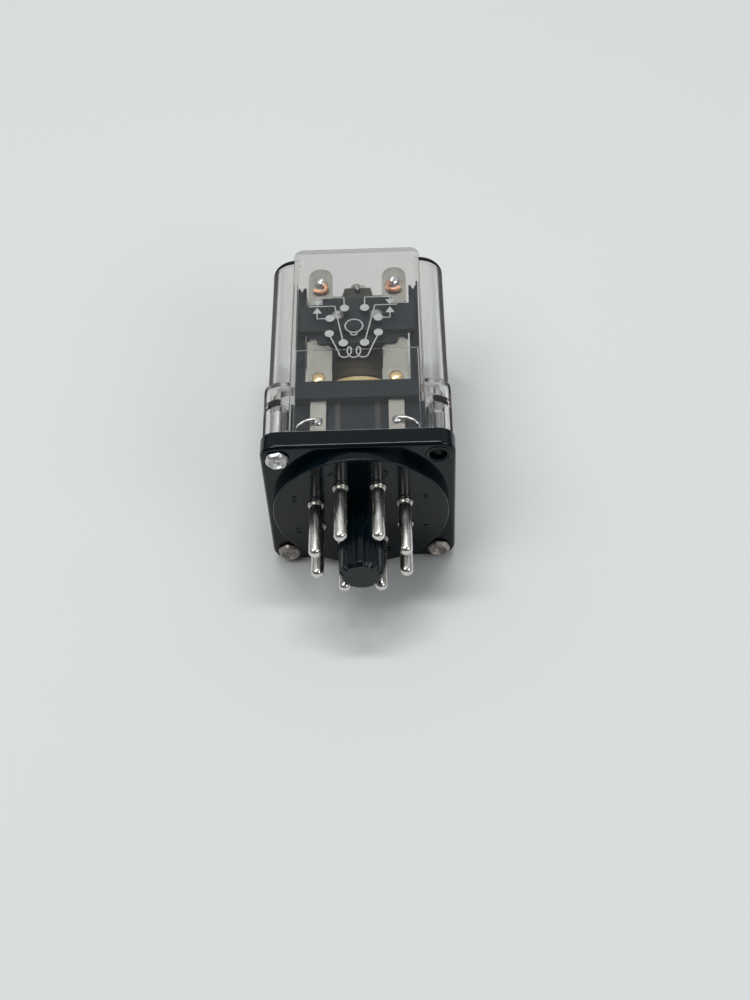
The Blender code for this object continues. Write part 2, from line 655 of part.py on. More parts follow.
def cover_form(inset, panel_inset):
    """The skirt, the body and the panels as three meshes, all set in by a wall or by none."""
    start = COVER_FRONT - inset
    end = COVER_LENGTH - inset
    skirt = rounded_rectangle(SKIRT_HALF - inset, SKIRT_HALF - inset, SKIRT_CORNER - inset)
    near = rounded_rectangle(BODY_HALF_WIDTH - inset, BODY_HALF_HEIGHT - inset, BODY_CORNER - inset)
    far = rounded_rectangle(
        BODY_HALF_WIDTH - BODY_DRAFT - inset, BODY_HALF_HEIGHT - inset, BODY_CORNER - inset
    )
    plan = panel_outline(PANEL_HALF_WIDTH - panel_inset, end, PANEL_CORNER - inset / 2)
    height = PANEL_HEIGHT - inset
    return (
        prism(skirt, "Y", start, SKIRT_END - inset),
        loft([(start, near), (end, far)]),
        prism(plan, "Z", -height, height),
    )


def build_cover():
    skirt, body, panels = cover_form(0, 0)
    material = paint("cover_polycarbonate", (0.80, 0.83, 0.84), 0.08, 0.0, 0.3)
    cover = piece("clear_cover", skirt, material, relay_axis)
    add(cover, body)
    add(cover, panels)
    for hollow in cover_form(COVER_WALL, PANEL_SIDE_WALL):
        cut(cover, hollow)
    add(cover, cylinders(corner_places(), BOSS_RADIUS, COVER_FRONT, BOSS_END, sides=16))
    cut(cover, cylinders(corner_places(), BOSS_BORE_RADIUS, 0, BOSS_BORE_END, sides=12))
    gate_end = COVER_LENGTH + GATE_HEIGHT
    add(cover, cylinders([(GATE_X, 0)], GATE_RADIUS, COVER_LENGTH - COVER_WALL / 2, gate_end, sides=12))


# ---------------------------------------------------------------- contact block and screws

def block_profile():
    """The block's section, in (y, z): a riser, the slotted bar with its trough, the deck, a riser."""
    return [
        (BLOCK_FOOT, RISER_FRONT),
        (BAR_BOTTOM, RISER_FRONT),
        (BAR_BOTTOM, BAR_FRONT),
        (DECK_TOP, BAR_FRONT),
        (DECK_TOP, TROUGH_FRONT),
        (TROUGH_FLOOR, TROUGH_FRONT),
        (TROUGH_FLOOR, TROUGH_BACK),
        (DECK_TOP, TROUGH_BACK),
        (DECK_TOP, -RISER_FRONT),
        (BLOCK_FOOT, -RISER_FRONT),
        (BLOCK_FOOT, -RISER_BACK),
        (DECK_BOTTOM, -RISER_BACK),
        (DECK_BOTTOM, BAR_BACK),
        (BAR_BOTTOM, BAR_BACK),
        (BAR_BOTTOM, RISER_BACK),
        (BLOCK_FOOT, RISER_BACK),
    ]


def pillar_outline(side):
    """A side pillar in (x, y), with a V notch in its top."""
    middle = (PILLAR_INNER + PILLAR_OUTER) / 2
    lip = 0.25 * (PILLAR_OUTER - PILLAR_INNER)
    points = [
        (PILLAR_INNER, DECK_BOTTOM),
        (PILLAR_OUTER, DECK_BOTTOM),
        (PILLAR_OUTER, PILLAR_TOP),
        (PILLAR_OUTER - lip, PILLAR_TOP),
        (middle, PILLAR_TOP - PILLAR_NOTCH),
        (PILLAR_INNER + lip, PILLAR_TOP),
        (PILLAR_INNER, PILLAR_TOP),
    ]
    return [(side * x, y) for x, y in points]


def slot(side, leaf_back):
    """The slot in the bar that a terminal's neck passes."""
    half = TERMINAL_NECK_HALF_WIDTH + FIT
    middle = leaf_back + TERMINAL_THICKNESS / 2
    z0 = middle - TERMINAL_SLOT / 2
    x0, x1 = sorted((side * (CONTACT_X - half), side * (CONTACT_X + half)))
    return box(x0, x1, BAR_BOTTOM - OVER, DECK_TOP + OVER, z0, z0 + TERMINAL_SLOT)


def build_block():
    profile = prism(block_profile(), "X", -BLOCK_HALF_WIDTH, BLOCK_HALF_WIDTH)
    block = piece("contact_block", profile, paint("block_phenolic", (0.022, 0.024, 0.026), 0.5), relay_axis)
    riser_top = BAR_BOTTOM + RIB_HEIGHT
    add(block, box(-RISER_HALF_WIDTH, RISER_HALF_WIDTH, BLOCK_FOOT, riser_top, RISER_BACK, RISER_FRONT))
    add(block, box(
        -PAD_HALF_WIDTH, PAD_HALF_WIDTH, DECK_BOTTOM + OVER, FRAME_BOTTOM - SEAT, PAD_BACK, PAD_FRONT
    ))
    screws = [(0, SCREW_Z), (0, -SCREW_Z)]
    add(block, cylinders(screws, SCREW_BOSS_RADIUS, BLOCK_FOOT, (DECK_BOTTOM + TROUGH_FLOOR) / 2))
    for side in SIDES.values():
        add(block, prism(pillar_outline(side), "Z", PILLAR_BACK, PILLAR_FRONT))
        rib_x = side * RIB_X
        rib_z = RISER_FRONT + RIB_HEIGHT
        add(block, box(
            rib_x - RIB_WIDTH / 2, rib_x + RIB_WIDTH / 2, BLOCK_FOOT, riser_top, RISER_BACK, rib_z
        ))
        cut(block, slot(side, NC_BACK))
        cut(block, slot(side, NO_BACK))
        x0, x1 = sorted((side * WINDOW_INNER, side * WINDOW_OUTER))
        cut(block, box(x0, x1, DECK_BOTTOM - OVER, DECK_TOP + OVER, WINDOW_BACK, WINDOW_FRONT))
    cut(block, cylinders(screws, SCREW_HOLE_RADIUS, 0, DECK_TOP + OVER, sides=12))
    cut(block, cylinders([(0, 0)], STUD_HOLE_RADIUS, DECK_BOTTOM - OVER, FRAME_BOTTOM + OVER))
    notches = [(side * WIRE_NOTCH_X, WIRE_NOTCH_Y) for side in SIDES.values()]
    cut(block, cylinders(notches, WIRE_NOTCH_RADIUS, 0, RISER_FRONT + OVER, axis="Z", sides=12))


def build_block_screws():
    """The front screw's head stands in the trough, the back one's on the deck. Both end in the base."""
    material = paint("screw_steel", (0.60, 0.58, 0.52), 0.35, 1.0)
    for name, z, seat in (("front", SCREW_Z, TROUGH_FLOOR), ("back", -SCREW_Z, DECK_TOP)):
        profile = screw_profile(seat + FIT)
        piece(f"block_screw_{name}", turned(profile, 12), material, relay_axis, (0, 0, z))


def screw_profile(head):
    return [
        (0, SCREW_END),
        (0.6 * SCREW_RADIUS, SCREW_END),
        (SCREW_RADIUS, SCREW_END + 0.4 * SCREW_RADIUS),
        (SCREW_RADIUS, head),
        (SCREW_HEAD_RADIUS, head),
        (SCREW_HEAD_RADIUS, head + 0.65 * SCREW_HEAD_HEIGHT),
        (0.75 * SCREW_HEAD_RADIUS, head + SCREW_HEAD_HEIGHT),
        (0, head + SCREW_HEAD_HEIGHT),
    ]


# ---------------------------------------------------------------- magnet

def build_frame():
    """The L of the frame, its anchor tab for the spring and the hole for the core's stud."""
    leg_front = FRAME_BACK + STEEL
    profile = [
        (FRAME_BOTTOM, FRAME_BACK),
        (FRAME_TOP, FRAME_BACK),
        (FRAME_TOP, leg_front),
        (FRAME_BOTTOM + STEEL, leg_front),
        (FRAME_BOTTOM + STEEL, FRAME_FRONT),
        (FRAME_BOTTOM, FRAME_FRONT),
    ]
    material = paint("frame_steel", (0.55, 0.54, 0.50), 0.35, 1.0)
    frame = piece(
        "frame", prism(profile, "X", -FRAME_HALF_WIDTH, FRAME_HALF_WIDTH), material, relay_axis
    )
    add(frame, box(
        -ANCHOR_HALF_WIDTH, ANCHOR_HALF_WIDTH, FRAME_TOP - OVER, ANCHOR_TOP, FRAME_BACK, leg_front
    ))
    hole = [(0, SPRING_HOLE_Y)]
    cut(frame, cylinders(hole, SPRING_HOLE_RADIUS, FRAME_BACK - OVER, leg_front + OVER, "Z", 12))
    cut(frame, cylinders([(0, 0)], STUD_HOLE_RADIUS, FRAME_BOTTOM - OVER, FRAME_BOTTOM + STEEL + OVER))


def build_core():
    """The round core: a threaded stud through the frame and the deck, a pole face with a slot."""
    profile = [
        (0, STUD_END),
        (0.8 * STUD_RADIUS, STUD_END),
        (STUD_RADIUS, STUD_END + 0.2 * STUD_RADIUS),
        (STUD_RADIUS, CORE_SHOULDER),
        (CORE_RADIUS, CORE_SHOULDER),
        (CORE_RADIUS, POLE_FACE),
        (0, POLE_FACE),
    ]
    core = piece("core", turned(profile, 24), paint("core_iron", (0.52, 0.51, 0.49), 0.3, 1.0), relay_axis)
    across = CORE_RADIUS + OVER
    cut(core, box(
        RING_SLOT_NEAR, RING_SLOT_FAR, POLE_FACE - RING_SLOT_DEPTH, POLE_FACE + OVER, -across, across
    ))


def segment_outline(radius, near):
    """A circle's segment beyond x = near."""
    half_angle = math.degrees(math.acos(near / radius))
    return arc((0, 0), radius, -half_angle, half_angle, 12)


def build_shading_ring():
    """A copper D round part of the pole, with its straight side in the pole's slot."""
    near = RING_SLOT_NEAR + FIT
    inner_radius = CORE_RADIUS + SEAT
    bottom = POLE_FACE - RING_HEIGHT - FIT
    ring = piece(
        "shading_ring",
        prism(segment_outline(inner_radius + RING_WIDTH, near), "Y", bottom, bottom + RING_HEIGHT),
        paint("ring_copper", (0.72, 0.38, 0.22), 0.3, 1.0),
        relay_axis,
    )
    hole = segment_outline(inner_radius, near + RING_BAR)
    cut(ring, prism(hole, "Y", bottom - OVER, bottom + RING_HEIGHT + OVER))


def build_core_nut():
    bottom = DECK_BOTTOM - FIT - NUT_HEIGHT
    outline = arc((0, 0), NUT_RADIUS, 0, 360, 6)[:-1]
    nut = piece(
        "core_nut",
        prism(outline, "Y", bottom, bottom + NUT_HEIGHT),
        paint("nut_brass", (0.70, 0.56, 0.30), 0.3, 1.0),
        relay_axis,
    )
    cut(nut, cylinders([(0, 0)], STUD_HOLE_RADIUS, bottom - OVER, bottom + NUT_HEIGHT + OVER))


def build_coil():
    bobbin = [
        (BOBBIN_BORE, BOBBIN_BOTTOM),
        (BOBBIN_FLANGE, BOBBIN_BOTTOM),
        (BOBBIN_FLANGE, BARREL_BOTTOM),
        (BOBBIN_BARREL, BARREL_BOTTOM),
        (BOBBIN_BARREL, BARREL_TOP),
        (BOBBIN_FLANGE, BARREL_TOP),
        (BOBBIN_FLANGE, BOBBIN_TOP),
        (BOBBIN_BORE, BOBBIN_TOP),
    ]
    nylon = paint("bobbin_nylon", (0.72, 0.60, 0.32), 0.5)
    piece("bobbin", turned(bobbin, 32, closed=True), nylon, relay_axis)
    inner = BOBBIN_BARREL + SEAT
    winding = [
        (inner, BARREL_BOTTOM + SEAT),
        (WINDING_RADIUS, BARREL_BOTTOM + SEAT),
        (WINDING_RADIUS, BARREL_TOP - SEAT),
        (inner, BARREL_TOP - SEAT),
    ]
    piece(
        "coil_winding",
        turned(winding, 32, closed=True),
        paint("winding_tape", (0.36, 0.17, 0.05), 0.45),
        relay_axis,
    )


# ---------------------------------------------------------------- armature and card

def build_armature():
    """The L-shaped armature: a plate over the pole, a leg in front and a tongue for the spring."""
    leg_back = ARMATURE_FRONT - LEG_THICKNESS
    profile = [
        (ARMATURE_BOTTOM, ARMATURE_BACK),
        (ARMATURE_TOP, ARMATURE_BACK),
        (ARMATURE_TOP, ARMATURE_FRONT),
        (LEG_END, ARMATURE_FRONT),
        (LEG_END, leg_back),
        (ARMATURE_BOTTOM, leg_back),
    ]
    armature = piece(
        "armature",
        prism(profile, "X", -ARMATURE_HALF_WIDTH, ARMATURE_HALF_WIDTH),
        paint("armature_steel", (0.58, 0.57, 0.54), 0.32, 1.0),
        armature_hinge,
    )
    tongue = [
        (-TONGUE_HALF_WIDTH, ARMATURE_TOP - OVER),
        (TONGUE_HALF_WIDTH, ARMATURE_TOP - OVER),
        (TONGUE_TIP_HALF_WIDTH, TONGUE_TOP),
        (-TONGUE_TIP_HALF_WIDTH, TONGUE_TOP),
    ]
    add(armature, prism(tongue, "Z", leg_back, ARMATURE_FRONT))
    notch_front = ARMATURE_BACK + NOTCH_DEPTH
    cut(armature, box(
        -NOTCH_HALF_WIDTH, NOTCH_HALF_WIDTH,
        ARMATURE_BOTTOM - OVER, ARMATURE_TOP + OVER,
        ARMATURE_BACK - OVER, notch_front,
    ))
    hole = [(0, SPRING_HOLE_Y)]
    cut(armature, cylinders(hole, SPRING_HOLE_RADIUS, leg_back - OVER, ARMATURE_FRONT + OVER, "Z", 12))
    cut(armature, cylinders(
        card_rivet_places(), CARD_RIVET_HOLE_RADIUS, leg_back - OVER, ARMATURE_FRONT + OVER, "Z", 12
    ))


def card_rivet_places():
    return [(side * CARD_RIVET_X, CARD_RIVET_Y) for side in SIDES.values()]


def mirrored(points):
    """Points on the right side, followed by their mirror images on the left."""
    return points + [(-x, y) for x, y in reversed(points)]


def build_card():
    """The insulating card: a thin wide front, a thick middle and a short tongue below."""
    front = mirrored([
        (CARD_HALF_WIDTH, CARD_WING_BOTTOM),
        (CARD_HALF_WIDTH, CARD_WING_TOP),
        (CARD_TOP_HALF_WIDTH, CARD_WING_TOP),
        (CARD_TOP_HALF_WIDTH, CARD_TOP),
    ])
    corner_x = CARD_TONGUE_HALF_WIDTH - CARD_TONGUE_CORNER
    corner_y = CARD_TONGUE_BOTTOM + CARD_TONGUE_CORNER
    middle = mirrored([
        *arc((corner_x, corner_y), CARD_TONGUE_CORNER, -90, 0, 4),
        (CARD_TONGUE_HALF_WIDTH, CARD_CORE_BOTTOM),
        (CARD_CORE_HALF_WIDTH, CARD_CORE_BOTTOM),
        (CARD_CORE_HALF_WIDTH, CARD_WING_TOP - BLADE_GAP),
        (CARD_TOP_HALF_WIDTH - BLADE_GAP, CARD_TOP - BLADE_GAP),
    ])
    card = piece(
        "insulating_card",
        prism(front, "Z", CARD_WING_BACK, CARD_FRONT),
        paint("card_phenolic", (0.030, 0.031, 0.033), 0.45),
        armature_hinge,
    )
    add(card, prism(middle, "Z", CARD_BACK, CARD_STEP))
    half = BLADE_NECK_HALF_WIDTH + BLADE_CLEARANCE
    z0 = BLADE_BACK - BLADE_CLEARANCE
    z1 = BLADE_BACK + BLADE_THICKNESS + BLADE_CLEARANCE
    for side in SIDES.values():
        x0, x1 = sorted((side * (CONTACT_X - half), side * (CONTACT_X + half)))
        cut(card, box(x0, x1, CARD_TONGUE_BOTTOM - OVER, CARD_TOP + OVER, z0, z1))
    cut(card, cylinders(
        card_rivet_places(), CARD_RIVET_HOLE_RADIUS, CARD_BACK - OVER, CARD_FRONT + OVER, "Z", 12
    ))


def build_card_rivets():
    back = ARMATURE_FRONT - LEG_THICKNESS - FIT
    front = CARD_FRONT + FIT
    head = CARD_RIVET_HEAD_HEIGHT
    profile = [
        (0, back - head),
        (0.74 * CARD_RIVET_HEAD_RADIUS, back - head),
        (CARD_RIVET_HEAD_RADIUS, back),
        (CARD_RIVET_RADIUS, back),
        (CARD_RIVET_RADIUS, front),
        (CARD_RIVET_HEAD_RADIUS, front),
        (0.74 * CARD_RIVET_HEAD_RADIUS, front + head),
        (0, front + head),
    ]
    material = paint("card_rivet_brass", (0.72, 0.58, 0.32), 0.3, 1.0)
    for name, side in SIDES.items():
        place = (side * CARD_RIVET_X, CARD_RIVET_Y, 0)
        piece(f"card_rivet_{name}", turned(profile, 12, "Z"), material, armature_hinge, place)


# ---------------------------------------------------------------- contacts

def blade_outline(side):
    """A moving blade in (x, y): wide at the contact, narrow through the card, a round tab above it.

    Its outer shoulder is higher than the inner one, because the card's tongue is only between the blades.
    """
    tab_y = BLADE_TOP - BLADE_TAB_HALF_WIDTH
    points = [
        (-BLADE_HALF_WIDTH, BLADE_BOTTOM),
        (BLADE_HALF_WIDTH, BLADE_BOTTOM),
        (BLADE_HALF_WIDTH, BLADE_OUTER_SHOULDER),
        (BLADE_NECK_HALF_WIDTH, BLADE_OUTER_SHOULDER),
        (BLADE_NECK_HALF_WIDTH, BLADE_TAB_BOTTOM),
        (BLADE_TAB_HALF_WIDTH, BLADE_TAB_BOTTOM),
        *arc((0, tab_y), BLADE_TAB_HALF_WIDTH, 0, 180, 10),
        (-BLADE_TAB_HALF_WIDTH, BLADE_TAB_BOTTOM),
        (-BLADE_NECK_HALF_WIDTH, BLADE_TAB_BOTTOM),
        (-BLADE_NECK_HALF_WIDTH, BLADE_INNER_SHOULDER),
        (-BLADE_HALF_WIDTH, BLADE_INNER_SHOULDER),
    ]
    return [(side * x, y) for x, y in points]


def terminal_outline(side, top, end):
    """A fixed terminal in (x, y): a wide contact plate on a neck that ends below the block."""
    points = [
        (-TERMINAL_HALF_WIDTH, TERMINAL_BOTTOM),
        (-TERMINAL_NECK_HALF_WIDTH, TERMINAL_BOTTOM),
        (-TERMINAL_NECK_HALF_WIDTH, end),
        (TERMINAL_NECK_HALF_WIDTH, end),
        (TERMINAL_NECK_HALF_WIDTH, TERMINAL_BOTTOM),
        (TERMINAL_HALF_WIDTH, TERMINAL_BOTTOM),
        (TERMINAL_HALF_WIDTH, top),
        (-TERMINAL_HALF_WIDTH, top),
    ]
    return [(side * x, y) for x, y in points]


def nc_outline(side):
    return terminal_outline(side, NC_TERMINAL_TOP, NC_TERMINAL_END)


def no_outline(side):
    return terminal_outline(side, NO_TERMINAL_TOP, NO_TERMINAL_END)


def leaf(name, outline, back, thickness, holes, material, parent, side):
    """A flat leaf centred on one side's contact, with round holes as (y, radius)."""
    centre = (side * CONTACT_X, 0, 0)
    made = piece(name, prism(outline, "Z", back, back + thickness), material, parent, centre)
    for y, radius in holes:
        hole = cylinders([(side * CONTACT_X, y)], radius, back - OVER, back + thickness + OVER, "Z", 12)
        cut(made, hole)


def contact_profile(back, thickness, rear_head, front_head):
    """A contact button riveted through a leaf, with a slightly domed head on each face."""
    rear = back - LEAF
    front = back + thickness + LEAF
    return [
        (0, rear - rear_head),
        (0.6 * CONTACT_RADIUS, rear - 0.8 * rear_head),
        (CONTACT_RADIUS, rear - 0.3 * rear_head),
        (CONTACT_RADIUS, rear),
        (CONTACT_SHANK_RADIUS, rear),
        (CONTACT_SHANK_RADIUS, front),
        (CONTACT_RADIUS, front),
        (CONTACT_RADIUS, front + 0.3 * front_head),
        (0.6 * CONTACT_RADIUS, front + 0.8 * front_head),
        (0, front + front_head),
    ]


def build_contacts():
    blade_metal = paint("blade_bronze", (0.70, 0.66, 0.58), 0.35, 1.0)
    terminal_metal = paint("terminal_tin", (0.66, 0.65, 0.62), 0.35, 1.0)
    contact_metal = paint("contact_gold", (0.83, 0.66, 0.36), 0.28, 1.0)
    eye = (SOLDER_EYE_Y, SOLDER_EYE_RADIUS)
    kinds = (
        ("moving_blade", "moving_contact", blade_outline, BLADE_BACK, BLADE_THICKNESS,
         BLADE_CONTACT_Y, [], blade_metal, armature_hinge, CONTACT_HEAD),
        ("nc_terminal", "nc_contact", nc_outline, NC_BACK,
         TERMINAL_THICKNESS, NC_CONTACT_Y, [eye], terminal_metal, relay_axis, CONTACT_DOME),
        ("no_terminal", "no_contact", no_outline, NO_BACK,
         TERMINAL_THICKNESS, NO_CONTACT_Y, [], terminal_metal, relay_axis, CONTACT_HEAD),
    )
    for leaf_name, contact_name, outline, back, thickness, y, extra_holes, metal, parent, dome in kinds:
        profile = contact_profile(back, thickness, CONTACT_HEAD, dome)
        holes = [(y, CONTACT_HOLE_RADIUS), *extra_holes]
        for name, side in SIDES.items():
            leaf(f"{leaf_name}_{name}", outline(side), back, thickness, holes, metal, parent, side)
            button = turned(profile, 12, "Z")
            piece(f"{contact_name}_{name}", button, contact_metal, parent, (side * CONTACT_X, y, 0))


# ---------------------------------------------------------------- spring and wires

def spring_route():
    """Both hooks and the coil between them, along Z, as points on one wire."""
    hole = SPRING_HOLE_Y
    back_hook = FRAME_BACK - SPRING_HOOK_REACH
    front_hook = ARMATURE_FRONT + SPRING_HOOK_REACH
    bend = 2 * SPRING_WIRE_RADIUS
    points = [
        (0, hole + SPRING_HOOK_RISE, back_hook),
        (0, hole + bend, back_hook),
        (0, hole, back_hook + bend),
        (0, hole, FRAME_BACK + STEEL),
    ]
    steps = SPRING_TURNS * SPRING_STEPS
    for step in range(steps + 1):
        angle = math.tau * step / SPRING_STEPS - math.pi / 2
        x = SPRING_COIL_RADIUS * math.cos(angle)
        y = SPRING_Y + SPRING_COIL_RADIUS * math.sin(angle)
        z = -SPRING_HALF_LENGTH + 2 * SPRING_HALF_LENGTH * step / steps
        points.append((x, y, z))
    points += [
        (0, hole, ARMATURE_FRONT - LEG_THICKNESS),
        (0, hole, front_hook - bend),
        (0, hole + bend, front_hook),
        (0, hole + SPRING_HOOK_RISE, front_hook),
    ]
    return points


def coil_lead_route():
    """From an outer pin at the back, up through the deck's window, to the winding."""
    x, z = pin_place(6)
    rise = TAIL_END + SEAT + TAIL_RADIUS
    window_x = (WINDOW_INNER + WINDOW_OUTER) / 2
    along = math.cos(math.radians(LEAD_ANGLE))
    across = math.sin(math.radians(LEAD_ANGLE))
    far = BOBBIN_FLANGE + LEAD_STANDOFF
    near = WINDING_RADIUS + WIRE_RADIUS + SEAT
    top = BARREL_BOTTOM + LEAD_RISE
    return [
        (x, TAIL_END + SEAT, -z),
        (x, rise, -z),
        (window_x, BAR_BOTTOM - WIRE_DROP, -z - 2 * WIRE_RADIUS),
        (window_x, DECK_BOTTOM + DECK_THICKNESS / 2, WINDOW_BACK + LEAD_STANDOFF),
        (along * far, FRAME_BOTTOM + BOBBIN_FLANGE_THICKNESS, across * far),
        (along * far, top, across * far),
        (along * near, top + LEAD_STANDOFF, across * near),
    ]


def no_wire_route():
    """From an outer pin in front to the end of the normally open terminal."""
    x, z = pin_place(6)
    below = NO_TERMINAL_END - 3 * WIRE_RADIUS
    return [
        (x, TAIL_END + SEAT, z),
        (x, TAIL_END + SEAT + TAIL_RADIUS, z),
        (CONTACT_X + WIRE_RADIUS, below, NO_BACK - 10 * WIRE_RADIUS),
        (CONTACT_X, below, NO_BACK - 2 * WIRE_RADIUS),
        (CONTACT_X, NO_TERMINAL_END - 2 * FIT, NO_BACK + TERMINAL_THICKNESS / 2),
    ]


def nc_wire_route():
    """From an inner pin in front, round the riser's edge, to the eye of the normally closed terminal."""
    x, z = pin_place(5)
    near = NC_BACK + 3 * WIRE_RADIUS
    return [
        (x, TAIL_END + SEAT, z),
        (x, TAIL_END + SEAT + TAIL_RADIUS, z),
        (CONTACT_X - 2.5 * WIRE_RADIUS, SOLDER_EYE_Y, RISER_BACK - 6 * WIRE_RADIUS),
        (WIRE_NOTCH_X - 3.5 * WIRE_RADIUS, WIRE_NOTCH_Y + WIRE_RADIUS, RISER_BACK - 3 * WIRE_RADIUS),
        (WIRE_NOTCH_X, WIRE_NOTCH_Y, RISER_BACK + RISER_THICKNESS / 2),
        (WIRE_NOTCH_X - WIRE_RADIUS, WIRE_NOTCH_Y + 1.5 * WIRE_RADIUS, NC_BACK + 1.3 * WIRE_RADIUS),
        (CONTACT_X + 5.5 * WIRE_RADIUS, SOLDER_EYE_Y - FIT, near),
        (CONTACT_X + 0.5 * WIRE_RADIUS, SOLDER_EYE_Y, near),
    ]


def pigtail_route():
    """From an inner pin at the back, up through the deck's window, round to the front of a blade's tab."""
    x, z = pin_place(5)
    rise = TAIL_END + SEAT + TAIL_RADIUS
    window_x = (WINDOW_INNER + WINDOW_OUTER) / 2
    edge = CONTACT_X - BLADE_TAB_HALF_WIDTH
    front = BLADE_BACK + BLADE_THICKNESS
    top = FRAME_TOP + 7 * BRAID_RADIUS
    return [
        (x, TAIL_END + SEAT, -z),
        (x, rise, -z),
        (CONTACT_X - 5 * BRAID_RADIUS, rise + WIRE_DROP, -z + 5.5 * BRAID_RADIUS),
        (CONTACT_X, BAR_BOTTOM - WIRE_DROP, BRAID_RADIUS),
        (window_x, DECK_BOTTOM + DECK_THICKNESS / 2, BLADE_BACK - 16 * BRAID_RADIUS),
        (window_x, CARD_TONGUE_BOTTOM - 5 * BRAID_RADIUS, BLADE_BACK - 9 * BRAID_RADIUS),
        (CONTACT_X + 2.5 * BRAID_RADIUS, LEG_END, BLADE_BACK - 5 * BRAID_RADIUS),
        (CONTACT_X + 1.7 * BRAID_RADIUS, FRAME_TOP, BLADE_BACK - 4 * BRAID_RADIUS),
        (CONTACT_X, top - 2 * BRAID_RADIUS, BLADE_BACK - 2.3 * BRAID_RADIUS),
        (edge, top, BLADE_BACK - 1.8 * BRAID_RADIUS),
        (edge - 1.6 * BRAID_RADIUS, top, front - BRAID_RADIUS / 2),
        (edge, top - 2 * BRAID_RADIUS, front + 2 * BRAID_RADIUS),
        (CONTACT_X - 2 * BRAID_RADIUS, top - 4 * BRAID_RADIUS, front + 2 * BRAID_RADIUS),
        (CONTACT_X + BRAID_RADIUS, top - 3 * BRAID_RADIUS, front + 2 * BRAID_RADIUS),
        (CONTACT_X, top, front + 2 * BRAID_RADIUS),
    ]


def build_wires():
    """Spring, coil leads, terminal wires and the braids."""
    steel = paint("spring_steel", (0.62, 0.61, 0.58), 0.3, 1.0)
    wire("return_spring", spring_route(), SPRING_WIRE_RADIUS, steel, armature_hinge, 1)
    tinned = paint("wire_tin", (0.70, 0.69, 0.66), 0.35, 1.0)
    sleeved = paint("lead_sleeve", (0.45, 0.09, 0.05), 0.5)
    copper = paint("braid_copper", (0.74, 0.42, 0.24), 0.4, 1.0)
    kinds = (
        ("coil_lead", coil_lead_route(), WIRE_RADIUS, sleeved),
        ("no_wire", no_wire_route(), WIRE_RADIUS, tinned),
        ("nc_wire", nc_wire_route(), WIRE_RADIUS, tinned),
        ("pigtail", pigtail_route(), BRAID_RADIUS, copper),
    )
    for kind, route, radius, material in kinds:
        for name, side in SIDES.items():
            knots = [(side * x, y, z) for x, y, z in route]
            wire(f"{kind}_{name}", smooth_route(knots), radius, material, relay_axis)


# ---------------------------------------------------------------- assembly

for old in list(bpy.data.objects):
    bpy.data.objects.remove(old, do_unlink=True)

relay_axis = bpy.data.objects.new("relay_axis", None)
far_end = COVER_LENGTH + GATE_HEIGHT
hang(relay_axis, None, (0, -(far_end - POST_LENGTH) / 2, FLANGE_HALF))
armature_hinge = bpy.data.objects.new("armature_hinge", None)
hang(armature_hinge, relay_axis, (0, HINGE_Y, HINGE_Z))

build_base()
build_pins()
build_cover_rivets()
build_cover()
build_block()
build_block_screws()
build_frame()
build_core()
build_shading_ring()
build_core_nut()
build_coil()
build_armature()
build_card()
build_card_rivets()
build_contacts()
build_wires()
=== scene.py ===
# %% [markdown]
# # An eight-pin plug-in relay in a clear cover
# The relay lies on its side on a table, with its pins towards us. Its solids come from a packed
# CAD model: they say where everything is, and how it moves. This lesson dresses them: it models
# the pieces that show, gives each one its finish, and lights and frames the whole.
# The frame is loaded first, because the places and the main sizes below are read from it.

# %% The fixed frame
import json
import math

import bmesh
import bpy
from mathutils import Matrix, Vector

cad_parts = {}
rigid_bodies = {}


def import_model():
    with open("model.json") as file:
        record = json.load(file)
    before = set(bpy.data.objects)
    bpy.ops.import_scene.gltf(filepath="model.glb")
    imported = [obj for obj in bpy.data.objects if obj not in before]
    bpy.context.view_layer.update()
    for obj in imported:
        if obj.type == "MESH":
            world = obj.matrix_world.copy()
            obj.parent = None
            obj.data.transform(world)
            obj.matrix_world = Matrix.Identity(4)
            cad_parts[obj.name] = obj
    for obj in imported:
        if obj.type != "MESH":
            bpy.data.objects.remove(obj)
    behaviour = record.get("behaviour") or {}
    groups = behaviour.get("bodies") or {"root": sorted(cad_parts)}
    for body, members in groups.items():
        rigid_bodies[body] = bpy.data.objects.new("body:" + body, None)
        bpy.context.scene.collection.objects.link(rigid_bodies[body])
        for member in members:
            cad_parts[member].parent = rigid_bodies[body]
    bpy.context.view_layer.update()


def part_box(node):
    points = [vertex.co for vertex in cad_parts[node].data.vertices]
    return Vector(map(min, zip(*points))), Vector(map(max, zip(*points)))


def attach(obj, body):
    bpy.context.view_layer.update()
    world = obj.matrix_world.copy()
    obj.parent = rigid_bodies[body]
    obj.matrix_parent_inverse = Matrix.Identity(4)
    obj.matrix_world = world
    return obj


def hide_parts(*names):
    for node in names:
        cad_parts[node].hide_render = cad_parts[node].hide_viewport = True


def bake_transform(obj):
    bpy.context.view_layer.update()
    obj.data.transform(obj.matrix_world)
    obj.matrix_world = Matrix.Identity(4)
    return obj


for leftover in list(bpy.data.objects):
    bpy.data.objects.remove(leftover, do_unlink=True)
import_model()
MM = 0.001

# %% [markdown]
# ## The relay's own axes
# It is easier to think in the relay's own millimetres than in the table's metres: x to the
# right, y from the face that the pins stand on towards the closed end, z up from the middle.
# The base's box gives the origin of these axes, so nothing is typed twice.

# %% From the relay's millimetres to the table
POST_LENGTH = 13.84
base_low, base_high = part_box("base")
ORIGIN = Vector((
    (base_low.x + base_high.x) / 2,
    base_low.y + POST_LENGTH * MM,
    (base_low.z + base_high.z) / 2,
))


def at(x, y, z):
    """A place on the relay, from its own millimetres."""
    return ORIGIN + Vector((x, y, z)) * MM


def inside(node):
    """The lowest and highest corner of a CAD node, in the relay's own millimetres."""
    return [tuple((corner - ORIGIN) / MM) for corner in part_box(node)]


